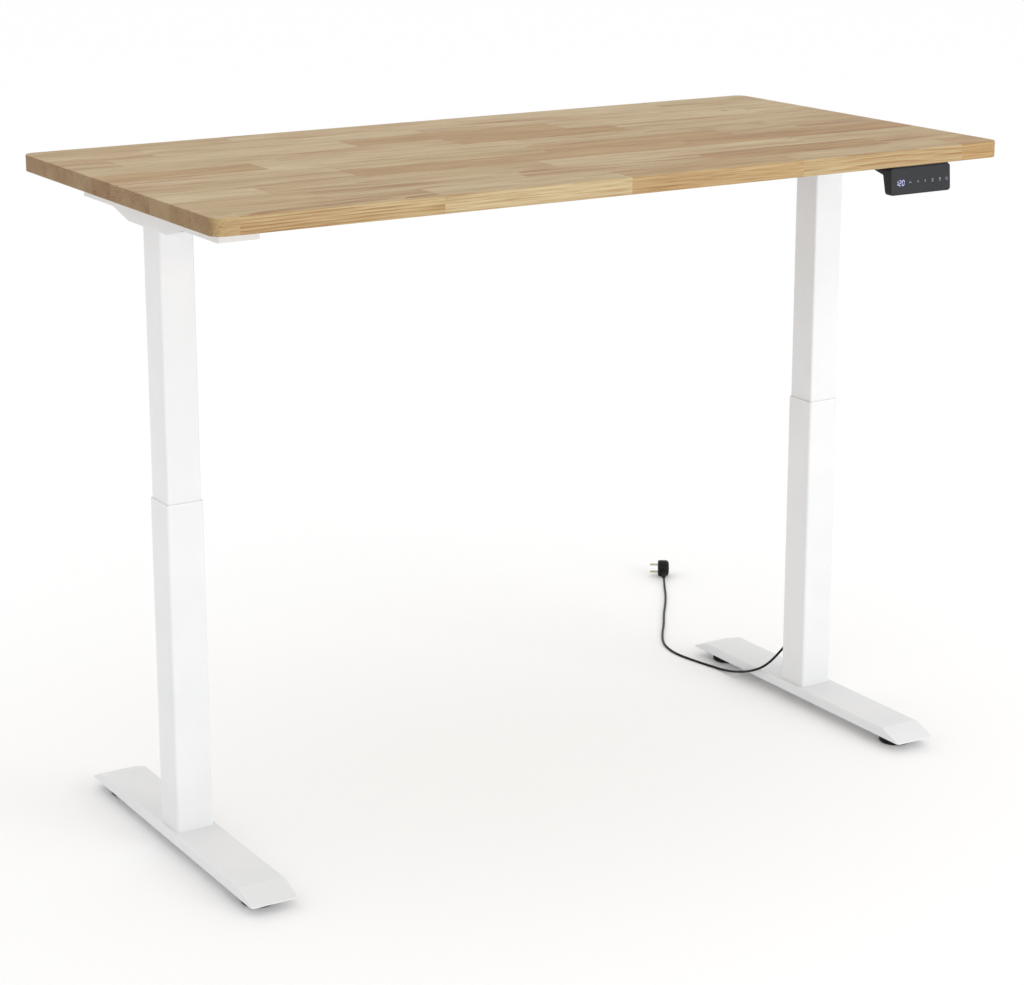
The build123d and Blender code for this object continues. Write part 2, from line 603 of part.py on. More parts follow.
def foot(side, leg_x):
    """Folded sheet foot: an inverted tray with sloping ends."""
    with BuildPart() as tray:
        with BuildSketch(Plane.YZ.offset(leg_x)):
            with Locations((FOOT_SHIFT, 0)):
                Polygon(*mirrored(foot_outline(0)), align=None)
        extrude(amount=FOOT_WIDTH / 2, both=True)
        fillet(tray.edges().filter_by(Axis.Z), FOOT_CORNER)
        flat_top = tray.faces().sort_by(Axis.Z)[-1]
        long_edges = flat_top.edges().filter_by(Axis.Y)
        fillet(long_edges, FOOT_BEND)
        with BuildSketch(Plane.YZ.offset(leg_x)):
            with Locations((FOOT_SHIFT, 0)):
                Polygon(*mirrored(foot_outline(FOOT_SHEET)), align=None)
        extrude(amount=FOOT_WIDTH / 2 - FOOT_SHEET, both=True, mode=Mode.SUBTRACT)
        with BuildSketch(Plane.XY.offset(FOOT_TOP)):
            with Locations((leg_x, 0)):
                with GridLocations(FOOT_BOLT_PITCH, FOOT_BOLT_PITCH, 2, 2):
                    Circle(BOLT_RADIUS + 2 * BOLT_GAP)
        extrude(amount=-FOOT_SHEET, mode=Mode.SUBTRACT)
    save(tray, f"{side}_foot")


def foot_bolts(side, leg_x):
    """Four bolts from inside the foot up into the column's base plate."""
    half_pitch = FOOT_BOLT_PITCH / 2
    with BuildPart() as bolts:
        for bolt_x in (-half_pitch, half_pitch):
            for bolt_y in (-half_pitch, half_pitch):
                seat = Plane((leg_x + bolt_x, bolt_y, FOOT_TOP - FOOT_SHEET))
                bolt(seat, FOOT_SHEET + BASE_PLATE)
    save(bolts, f"{side}_foot_bolts")


def weld_nuts(side, leg_x):
    """Two hexagon nuts welded under the foot's top sheet for the glides."""
    with BuildPart() as nuts:
        with BuildSketch(Plane.XY.offset(FOOT_TOP - FOOT_SHEET)):
            with Locations(*[(leg_x, y) for y in GLIDES.values()]):
                RegularPolygon(WELD_NUT_WIDTH / 2, 6, major_radius=False)
                Circle(STUD_RADIUS, mode=Mode.SUBTRACT)
        extrude(amount=-WELD_NUT_HEIGHT)
    save(nuts, f"{side}_weld_nuts")


def glide(side, place, leg_x, glide_y):
    """Levelling glide: a moulded pad and the threaded stud with its spanner hexagon."""
    with BuildPart() as pad:
        with BuildSketch(Plane.XZ.offset(-glide_y)):
            with BuildLine():
                Polyline(
                    (leg_x, 0),
                    (leg_x + GLIDE_RADIUS - GLIDE_EDGE, 0),
                    (leg_x + GLIDE_RADIUS, GLIDE_EDGE),
                    (leg_x + GLIDE_RADIUS, GLIDE_RIM),
                    (leg_x + GLIDE_RADIUS - GLIDE_EDGE, GLIDE_RIM + GLIDE_EDGE),
                    (leg_x + GLIDE_NECK, GLIDE_HEIGHT),
                    (leg_x, GLIDE_HEIGHT),
                    close=True,
                )
            make_face()
        revolve(axis=Axis((leg_x, glide_y, 0), (0, 0, 1)))
        with BuildSketch(Plane.XY.offset(GLIDE_HEIGHT - STUD_SEAT)):
            with Locations((leg_x, glide_y)):
                Circle(STUD_RADIUS)
        extrude(amount=STUD_SEAT, mode=Mode.SUBTRACT)
    save(pad, f"{side}_{place}_glide_pad")

    with BuildPart() as stud:
        with BuildSketch(Plane.XY.offset(GLIDE_HEIGHT - STUD_SEAT)):
            with Locations((leg_x, glide_y)):
                Circle(STUD_RADIUS - THREAD_FIT)
        extrude(amount=FOOT_TOP - FOOT_SHEET - END_GAP - GLIDE_HEIGHT + STUD_SEAT)
        chamfer(stud.edges().group_by(Axis.Z)[-1], 0.8)
        with BuildSketch(Plane.XY.offset(GLIDE_HEIGHT)):
            with Locations((leg_x, glide_y)):
                RegularPolygon(STUD_HEX / 2, 6, major_radius=False)
        extrude(amount=STUD_HEX_HEIGHT)
    save(stud, f"{side}_{place}_glide_stud")


for side_name, side_x in SIDES.items():
    foot(side_name, side_x)
    foot_bolts(side_name, side_x)
    weld_nuts(side_name, side_x)
    for place_name, place_y in GLIDES.items():
        glide(side_name, place_name, side_x, place_y)


# ---- Control box -----------------------------------------------------------------------------
BOX_FLOOR = UNDERSIDE - BOX_DEPTH
BOX_BACK = BOX_WIDTH / 2
SOCKET_BOTTOM = BOX_FLOOR + BOARD_LIFT + BOARD_THICKNESS
PORT_XS = [BOX_CENTRE_X + n * PORT_PITCH for n in (-1, 0, 1)]
INLET_X = BOX_CENTRE_X + 3 * PORT_PITCH
BOX_POSTS = [
    (BOX_CENTRE_X + sx * (BOX_LENGTH / 2 - POST_INSET), sy * (BOX_WIDTH / 2 - POST_INSET))
    for sx in (-1, 1)
    for sy in (-1, 1)
]


def socket_windows(gap):
    """Outlines of the control box's sockets, each grown by gap, on an XZ sketch."""
    middle = SOCKET_BOTTOM + SOCKET_HEIGHT / 2
    with Locations(*[(x, middle) for x in PORT_XS]):
        Rectangle(PORT_WIDTH + 2 * gap, SOCKET_HEIGHT + 2 * gap)
    with Locations((INLET_X, middle)):
        Rectangle(INLET_WIDTH + 2 * gap, SOCKET_HEIGHT + 2 * gap)


with BuildPart() as box_shell:
    with BuildSketch(Plane.XY.offset(BOX_FLOOR)):
        with Locations((BOX_CENTRE_X, 0)):
            RectangleRounded(BOX_LENGTH, BOX_WIDTH, BOX_CORNER)
    extrude(amount=BOX_TOP - BOX_FLOOR)
    fillet(box_shell.edges().group_by(Axis.Z)[0], 2.0)
    with BuildSketch(Plane.XY.offset(BOX_FLOOR + BOX_WALL)):
        with Locations((BOX_CENTRE_X, 0)):
            RectangleRounded(BOX_LENGTH - 2 * BOX_WALL, BOX_WIDTH - 2 * BOX_WALL, BOX_CORNER - BOX_WALL)
    extrude(amount=BOX_TOP - BOX_FLOOR - BOX_WALL, mode=Mode.SUBTRACT)
    with BuildSketch(Plane.XY.offset(BOX_FLOOR + BOX_WALL)):
        with Locations(*BOX_POSTS):
            Circle(BOX_BOSS_RADIUS)
    extrude(amount=BOARD_LIFT - BOX_WALL)
    with BuildSketch(Plane.XZ.offset(-BOX_BACK)):
        socket_windows(EASY_GAP)
    extrude(amount=BOX_WALL, mode=Mode.SUBTRACT)
save(box_shell, "control_box_shell")

with BuildPart() as box_lid:
    with BuildSketch(Plane.XY.offset(BOX_TOP)):
        with Locations((BOX_CENTRE_X, 0)):
            RectangleRounded(BOX_LENGTH, BOX_WIDTH, BOX_CORNER)
            RectangleRounded(BOX_LENGTH + 2 * BOX_EAR, BOX_EAR, BOX_CORNER)
        with Locations((BOX_CENTRE_X - BOX_EAR_X, 0), (BOX_CENTRE_X + BOX_EAR_X, 0)):
            Circle(SCREW_RADIUS + BOLT_GAP, mode=Mode.SUBTRACT)
    extrude(amount=BOX_LID)
save(box_lid, "control_box_lid")

with BuildPart() as control_board:
    margin = BOX_WALL + BOARD_MARGIN
    with BuildSketch(Plane.XY.offset(BOX_FLOOR + BOARD_LIFT)):
        with Locations((BOX_CENTRE_X, 0)):
            Rectangle(BOX_LENGTH - 2 * margin, BOX_WIDTH - 2 * margin)
    extrude(amount=BOARD_THICKNESS)
    with BuildSketch(Plane.XY.offset(SOCKET_BOTTOM)):
        with Locations((BOX_CENTRE_X + TRANSFORMER_X, 0)):
            Rectangle(TRANSFORMER_LENGTH, TRANSFORMER_WIDTH)
        with Locations(*[(BOX_CENTRE_X + x, y) for x, y in CAPACITOR_PLACES]):
            Circle(CAPACITOR_RADIUS)
    extrude(amount=TALL_PARTS)
save(control_board, "control_board")

with BuildPart() as box_sockets:
    with BuildSketch(Plane.XZ.offset(-BOX_BACK)):
        socket_windows(0)
    extrude(amount=SOCKET_DEPTH)
    with BuildSketch(Plane.XZ.offset(-BOX_BACK)):
        socket_windows(-SOCKET_WALL)
    extrude(amount=SOCKET_DEPTH - SOCKET_WALL, mode=Mode.SUBTRACT)
save(box_sockets, "control_box_sockets")


# ---- Handset -----------------------------------------------------------------------------------
HANDSET_BOTTOM = HANDSET_TOP - HANDSET_FACE
FACE_MIDDLE = (HANDSET_X, HANDSET_FRONT + HANDSET_LEAN / 2, HANDSET_TOP - HANDSET_FACE / 2)
FACE_PLANE = Plane(FACE_MIDDLE, x_dir=(1, 0, 0), z_dir=(0, -HANDSET_FACE, HANDSET_LEAN))
NECK_LEVEL = HANDSET_TOP - HANDSET_NECK_DEPTH
HANDSET_OUTLINE = [
    (HANDSET_FRONT + HANDSET_LEAN, HANDSET_TOP),
    (HANDSET_FRONT, HANDSET_BOTTOM),
    (HANDSET_FRONT + HANDSET_FOOT, HANDSET_BOTTOM),
    (HANDSET_FRONT + HANDSET_NECK, NECK_LEVEL),
    (HANDSET_FRONT + HANDSET_NECK + HANDSET_WEDGE, NECK_LEVEL + HANDSET_WEDGE_RISE),
    (HANDSET_FRONT + HANDSET_NECK + HANDSET_WEDGE, HANDSET_TOP),
]
PANEL_LENGTH = HANDSET_LENGTH - 2 * PANEL_MARGIN
PANEL_HEIGHT = HANDSET_FACE - 2 * PANEL_MARGIN

def handset_block(inset):
    """Wedge-backed block with rounded corners, drawn in by inset on every side."""
    with BuildPart() as block:
        with BuildSketch(Plane.YZ.offset(HANDSET_X)) as profile:
            Polygon(*HANDSET_OUTLINE, align=None)
            offset(amount=-inset, kind=Kind.INTERSECTION, mode=Mode.REPLACE)
        extrude(profile.sketch, amount=HANDSET_LENGTH / 2 - inset, both=True)
        with BuildSketch(Plane.XZ.offset(-HANDSET_FRONT)) as ends:
            with Locations((HANDSET_X, HANDSET_TOP - HANDSET_FACE / 2)):
                face_length = HANDSET_LENGTH - 2 * inset
                face_height = HANDSET_FACE - 2 * inset
                RectangleRounded(face_length, face_height, HANDSET_ROUND - inset)
        extrude(ends.sketch, amount=-(HANDSET_NECK + HANDSET_WEDGE), mode=Mode.INTERSECT)
    return block.part


with BuildPart() as handset_housing:
    add(handset_block(0))
    front_face = handset_housing.faces().sort_by(Axis.Y)[0]
    fillet(front_face.edges(), HANDSET_EDGE)
    add(handset_block(HANDSET_WALL), mode=Mode.SUBTRACT)
    with BuildSketch(FACE_PLANE):
        RectangleRounded(PANEL_LENGTH, PANEL_HEIGHT, HANDSET_ROUND - PANEL_MARGIN)
    extrude(amount=-PANEL_THICKNESS, mode=Mode.SUBTRACT)
    with BuildSketch(FACE_PLANE):
        with Locations((0, -HANDSET_FACE / 8)):
            Rectangle(DISPLAY_LENGTH, DISPLAY_HEIGHT)
    extrude(amount=-HANDSET_WALL - EASY_GAP, mode=Mode.SUBTRACT)
save(handset_housing, "handset_housing")

with BuildPart() as handset_panel:
    with BuildSketch(FACE_PLANE):
        RectangleRounded(PANEL_LENGTH, PANEL_HEIGHT, HANDSET_ROUND - PANEL_MARGIN)
    extrude(amount=-PANEL_THICKNESS)
save(handset_panel, "handset_panel")

with BuildPart() as handset_board:
    with BuildSketch(FACE_PLANE.offset(-HANDSET_WALL - EASY_GAP)):
        with Locations((0, -HANDSET_FACE / 8)):
            Rectangle(DISPLAY_LENGTH + LAMP_MARGIN, DISPLAY_HEIGHT + LAMP_MARGIN)
    extrude(amount=-BOARD_THICKNESS)
    with BuildSketch(FACE_PLANE.offset(-HANDSET_WALL - EASY_GAP)):
        with Locations((-HANDSET_LENGTH / 3, -HANDSET_FACE / 8)):
            Rectangle(LAMP_LENGTH, LAMP_HEIGHT)
    extrude(amount=HANDSET_WALL - PANEL_THICKNESS)
save(handset_board, "handset_board")

with BuildPart() as handset_plate:
    plate_depth = HANDSET_NECK + HANDSET_WEDGE - HANDSET_LEAN
    with BuildSketch(Plane.XY.offset(HANDSET_TOP)):
        with Locations((HANDSET_X, HANDSET_FRONT + HANDSET_LEAN + plate_depth / 2)):
            Rectangle(HANDSET_LENGTH - 2 * HANDSET_ROUND, plate_depth)
        with Locations((HANDSET_X, HANDSET_SCREW_Y)):
            RectangleRounded(HANDSET_LENGTH + HANDSET_EARS, HANDSET_EAR_WIDTH, HANDSET_EAR_CORNER)
        with Locations(*[(HANDSET_X + s * HANDSET_SCREW_X, HANDSET_SCREW_Y) for s in (-1, 1)]):
            Circle(SCREW_RADIUS + BOLT_GAP, mode=Mode.SUBTRACT)
    extrude(amount=HANDSET_PLATE)
save(handset_plate, "handset_plate")


# ---- Mains lead --------------------------------------------------------------------------------
BOOT_ROOT = Vector(LEG_X, COLUMN_WIDTH / 2 + BOOT_ROOT_DEPTH, ANCHOR_HEIGHT)
BOOT_DIRECTION = Vector(-26.0, 24.0, -49.6).normalized()  # towards the cord's first bend
BOOT_TIP = BOOT_ROOT + BOOT_DIRECTION * BOOT_LENGTH
COLUMN_BACK = Plane.XZ.offset(-COLUMN_WIDTH / 2)

with BuildPart() as cord_anchor:
    with BuildSketch(COLUMN_BACK):
        with Locations((LEG_X, ANCHOR_HEIGHT)):
            RectangleRounded(ANCHOR_WIDTH, ANCHOR_TALL, ANCHOR_CORNER)
    extrude(amount=-ANCHOR_DEPTH)
    fillet(cord_anchor.faces().sort_by(Axis.Y)[-1].edges(), ANCHOR_DEPTH / 4)
    with BuildSketch(Plane(BOOT_ROOT, z_dir=BOOT_DIRECTION)):
        Circle(BOOT_ROOT_RADIUS)
    with BuildSketch(Plane(BOOT_TIP, z_dir=BOOT_DIRECTION)):
        Circle(BOOT_TIP_RADIUS)
    loft()
    split(bisect_by=COLUMN_BACK, keep=Keep.BOTTOM)
    with BuildSketch(COLUMN_BACK.offset(-ANCHOR_DEPTH)):
        with Locations((LEG_X, ANCHOR_HEIGHT)):
            with GridLocations(ANCHOR_SCREW_PITCH, 0, 2, 1):
                Circle(ANCHOR_SCREW_RADIUS)
    extrude(amount=ANCHOR_DEPTH, mode=Mode.SUBTRACT)
save(cord_anchor, "cord_anchor")

with BuildPart() as anchor_screws:
    with BuildSketch(COLUMN_BACK.offset(COLUMN_WALL)):
        with Locations((LEG_X, ANCHOR_HEIGHT)):
            with GridLocations(ANCHOR_SCREW_PITCH, 0, 2, 1):
                Circle(ANCHOR_SCREW_RADIUS - BOLT_GAP)
    extrude(amount=-COLUMN_WALL - ANCHOR_DEPTH)
    with BuildSketch(COLUMN_BACK.offset(-ANCHOR_DEPTH)):
        with Locations((LEG_X, ANCHOR_HEIGHT)):
            with GridLocations(ANCHOR_SCREW_PITCH, 0, 2, 1):
                Circle(ANCHOR_SCREW_HEAD_RADIUS)
    extrude(amount=-ANCHOR_SCREW_HEAD)
save(anchor_screws, "cord_anchor_screws")

# The cord's route from the column's back: down over the foot to the floor, back in a loose curve,
# up into the plug.
CORD_OFFSETS = [
    (-26.0, 26.0, 77.4),
    (-47.0, 40.0, 52.0),
    (-58.0, 71.0, 34.0),
    (-55.0, 117.0, 17.0),
    (-54.0, 165.0, 4.5),
    (-61.0, 213.0, 2.5),
    (-73.0, 265.0, 2.5),
    (-80.0, 321.0, 2.5),
    (-68.0, 377.0, 2.5),
    (-33.0, 432.0, 2.5),
    (11.0, 488.0, 2.5),
    (53.0, 548.0, 2.5),
    (99.0, 607.0, 2.5),
    (138.0, 662.0, 2.5),
    (170.0, 713.0, 2.5),
    (191.7, 745.9, 10.1),
]
LEG_BACK = Vector(LEG_X, COLUMN_WIDTH / 2, 0)
CORD_POINTS = [BOOT_TIP] + [LEG_BACK + Vector(*offset) for offset in CORD_OFFSETS]
CORD_RUNS = [b - a for a, b in zip(CORD_POINTS, CORD_POINTS[1:])]


def bend_radius(before, after):
    """Radius of the arc at a route point: as large as the two runs beside it allow."""
    half_turn = math.radians(before.get_angle(after)) / 2
    return 0.45 * min(before.length, after.length) / math.tan(half_turn)


CORD_RADII = [bend_radius(a, b) for a, b in zip(CORD_RUNS, CORD_RUNS[1:])]
print("cord bend radii", [round(r) for r in CORD_RADII])

with BuildPart() as mains_cord:
    with BuildLine() as cord_path:
        FilletPolyline(*CORD_POINTS, radius=CORD_RADII)
    with BuildSketch(Plane(CORD_POINTS[0], z_dir=BOOT_DIRECTION)):
        Circle(CORD_RADIUS)
    sweep()
save(mains_cord, "mains_cord")
CORD_LENGTH = cord_path.wire().length
CORD_FILL = mains_cord.part.volume / (math.pi * CORD_RADIUS**2 * CORD_LENGTH)
print("cord length", round(CORD_LENGTH), "volume to section times length", round(CORD_FILL, 4))

# The plug lies on its round side: the cord comes in along PLUG_IN and the pins point sideways.
PLUG_IN = CORD_RUNS[-1].normalized()
PLUG_SIDE = Vector(-PLUG_IN.Y, PLUG_IN.X, 0).normalized()
PLUG_CENTRE = CORD_POINTS[-1] + PLUG_IN * (PLUG_BOOT_LENGTH + PLUG_RADIUS)
PLUG_BACK = Plane(PLUG_CENTRE - PLUG_SIDE * (PLUG_LENGTH / 2), x_dir=PLUG_IN, z_dir=PLUG_SIDE)
PLUG_FACE = PLUG_BACK.offset(PLUG_LENGTH)

with BuildPart() as plug_body:
    with BuildSketch(PLUG_BACK):
        Circle(PLUG_RADIUS)
    extrude(amount=PLUG_LENGTH)
    rims = plug_body.edges().filter_by(GeomType.CIRCLE).sort_by(Axis(PLUG_CENTRE, PLUG_SIDE))
    fillet(rims[0], PLUG_CROWN)
    fillet(rims[-1], PLUG_EDGE)
save(plug_body, "plug_body")

with BuildPart() as plug_pins:
    with BuildSketch(PLUG_FACE):
        with GridLocations(0, PLUG_PIN_PITCH, 1, 2):
            Circle(PLUG_PIN_RADIUS)
    extrude(amount=PLUG_PIN_LENGTH)
    fillet(plug_pins.faces().group_by(Axis(PLUG_CENTRE, PLUG_SIDE))[-1].edges(), PLUG_PIN_RADIUS / 2)
save(plug_pins, "plug_pins")

with BuildPart() as plug_boot:
    with BuildSketch(Plane(CORD_POINTS[-1], z_dir=PLUG_IN)):
        Circle(BOOT_TIP_RADIUS)
    with BuildSketch(Plane(CORD_POINTS[-1] + PLUG_IN * (PLUG_BOOT_LENGTH + BOOT_LAP), z_dir=PLUG_IN)):
        Circle(PLUG_BOOT_RADIUS)
    loft()
    for rib in range(PLUG_BOOT_RIBS):
        rib_place = PLUG_BOOT_LENGTH * (rib + 1) / (PLUG_BOOT_RIBS + 1)
        with BuildSketch(Plane(CORD_POINTS[-1] + PLUG_IN * rib_place, z_dir=PLUG_IN)):
            swell = (PLUG_BOOT_RADIUS - BOOT_TIP_RADIUS) * rib / PLUG_BOOT_RIBS
            Circle(BOOT_TIP_RADIUS + BOOT_RIB + swell)
        extrude(amount=BOOT_RIB_WIDTH)
    with BuildSketch(PLUG_BACK):
        Circle(PLUG_RADIUS)
    extrude(amount=PLUG_LENGTH, mode=Mode.SUBTRACT)
save(plug_boot, "plug_boot")
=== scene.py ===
"""Height adjustable standing desk: finishes, handset display and mains lead on the frame."""

from __future__ import annotations

import json
import logging
import math
from dataclasses import dataclass
from enum import Enum
from typing import Any, Sequence

import bpy
from mathutils import Euler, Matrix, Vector

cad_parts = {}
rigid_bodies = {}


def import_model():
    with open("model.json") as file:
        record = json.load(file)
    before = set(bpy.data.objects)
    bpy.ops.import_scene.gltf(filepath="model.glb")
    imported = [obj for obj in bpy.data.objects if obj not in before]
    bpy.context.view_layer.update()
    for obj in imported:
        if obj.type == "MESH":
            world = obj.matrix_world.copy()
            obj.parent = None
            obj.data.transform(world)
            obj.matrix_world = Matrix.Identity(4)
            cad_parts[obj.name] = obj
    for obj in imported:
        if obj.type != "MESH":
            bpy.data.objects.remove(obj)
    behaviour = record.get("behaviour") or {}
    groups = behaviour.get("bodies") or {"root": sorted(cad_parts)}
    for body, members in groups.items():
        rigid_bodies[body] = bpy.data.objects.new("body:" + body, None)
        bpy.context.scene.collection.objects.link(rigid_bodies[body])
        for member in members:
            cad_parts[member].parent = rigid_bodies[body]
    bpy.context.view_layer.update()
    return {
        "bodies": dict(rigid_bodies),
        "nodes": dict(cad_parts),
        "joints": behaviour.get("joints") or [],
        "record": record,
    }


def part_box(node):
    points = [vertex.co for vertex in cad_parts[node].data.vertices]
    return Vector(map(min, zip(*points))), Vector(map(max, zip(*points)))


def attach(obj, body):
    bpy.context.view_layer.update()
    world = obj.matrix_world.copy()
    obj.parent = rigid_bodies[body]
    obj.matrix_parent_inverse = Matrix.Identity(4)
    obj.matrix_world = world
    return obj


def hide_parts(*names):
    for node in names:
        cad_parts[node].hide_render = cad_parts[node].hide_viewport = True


LOG = logging.getLogger("desk")
MM = 0.001
MIXED = 2  # the Mix node's output that carries a colour
SIDES = ("left", "right")
PLACES = ("front", "rear")

Frame = dict[str, Any]
Socket = bpy.types.NodeSocket
Tree = bpy.types.NodeTree


def linear(hex_colour: str) -> tuple[float, float, float, float]:
    """Turn an sRGB hex colour into linear light.

    Args:
        hex_colour: Six hex digits after a hash sign.

    Returns:
        Red, green, blue and an alpha of one.
    """
    parts = [int(hex_colour[i : i + 2], 16) / 255 for i in (1, 3, 5)]
    light = [c / 12.92 if c <= 0.04045 else ((c + 0.055) / 1.055) ** 2.4 for c in parts]
    return (light[0], light[1], light[2], 1.0)


def add_node(
    tree: Tree,
    kind: str,
    settings: dict[str, Any] | None = None,
    inputs: dict[int | str, Any] | None = None,
    out: int | str = 0,
) -> Socket:
    """Add one shader node, set it up and link it.

    Args:
        tree: The material's node tree.
        kind: The node's class name without the ShaderNode prefix.
        settings: Attribute names and their values.
        inputs: Input names or numbers, each with a value or a socket to link from.
        out: Name or number of the output to hand back.

    Returns:
        The chosen output socket.
    """
    node = tree.nodes.new("ShaderNode" + kind)
    for name, value in (settings or {}).items():
        setattr(node, name, value)
    for name, value in (inputs or {}).items():
        if isinstance(value, bpy.types.NodeSocket):
            tree.links.new(value, node.inputs[name])
        else:
            node.inputs[name].default_value = value
    return node.outputs[out]


class Axis(Enum):
    """The way that a brushed, ground or extruded surface's marks run."""

    Z = (1.0, 1.0, 0.04)
    ROUND = (1.0, 1.0, 1.0)


@dataclass(frozen=True)
class Skin:
    """The marks on a moulded or machined surface, with the gloss they give."""

    pitch: float
    depth: float
    strength: float
    roughness: float
    spread: float
    run: Axis


@dataclass(frozen=True)
class Finish:
    """A material under its maker's name; each kind of finish paints its own nodes."""

    name: str

    def paint(self, tree: Tree, shader: bpy.types.Node) -> None:
        """Link this finish's nodes to the surface shader; each kind has its own."""
        raise NotImplementedError

    def patches(self, tree: Tree, place: Socket, scale: float, detail: float) -> Socket:
        """Draw soft patches through the piece.

        Args:
            tree: The material's node tree.
            place: The point in the piece.
            scale: Patches in a metre.
            detail: Finer patches inside each patch.

        Returns:
            A number about one half.
        """
        return add_node(
            tree, "TexNoise", inputs={"Vector": place, "Scale": scale, "Detail": detail}
        )

    def two_tone(self, tree: Tree, patch: Socket, tones: tuple[str, str]) -> Socket:
        """Drift softly between two close tones.

        Args:
            tree: The material's node tree.
            patch: The soft patches that choose between them.
            tones: The two sRGB hex colours.

        Returns:
            The mixed colour.
        """
        share = add_node(
            tree, "MapRange", inputs={"Value": patch, "From Min": 0.35, "From Max": 0.65}
        )
        colours = {"Factor": share, 6: linear(tones[0]), 7: linear(tones[1])}
        return add_node(tree, "Mix", {"data_type": "RGBA"}, colours, MIXED)

    def vary_gloss(
        self, tree: Tree, shader: bpy.types.Node, marks: Socket, middle: float, spread: float
    ) -> None:
        """Let the roughness follow a pattern of marks.

        Args:
            tree: The material's node tree.
            shader: The surface shader to link to.
            marks: The pattern.
            middle: The surface's usual roughness.
            spread: How far it strays to either side.
        """
        span = {"To Min": middle - spread, "To Max": middle + spread}
        gloss = add_node(tree, "MapRange", inputs={"Value": marks, **span})
        tree.links.new(gloss, shader.inputs["Roughness"])

    def worked_skin(self, tree: Tree, shader: bpy.types.Node, place: Socket, skin: Skin) -> None:
        """Vary the gloss and the relief with the marks of how the surface was made.

        Args:
            tree: The material's node tree.
            shader: The surface shader to link to.
            place: The point in the piece.
            skin: The marks.
        """
        drawn = add_node(
            tree, "VectorMath", {"operation": "MULTIPLY"}, {0: place, 1: skin.run.value}
        )
        marks = self.patches(tree, drawn, 1 / skin.pitch, 2.0)
        self.vary_gloss(tree, shader, marks, skin.roughness, skin.spread)
        bump = {"Strength": skin.strength, "Distance": skin.depth, "Height": marks}
        tree.links.new(add_node(tree, "Bump", inputs=bump), shader.inputs["Normal"])

    def material(self) -> bpy.types.Material:
        """Make the material, or find it if it is made already.

        Returns:
            The Blender material of this finish.
        """
        known = bpy.data.materials.get(self.name)
        if known is not None:
            return known
        material = bpy.data.materials.new(self.name)
        material.use_nodes = True
        tree = material.node_tree
        tree.nodes.clear()
        surface = add_node(tree, "BsdfPrincipled")
        output = tree.nodes.new("ShaderNodeOutputMaterial")
        tree.links.new(surface, output.inputs["Surface"])
        self.paint(tree, surface.node)
        return material


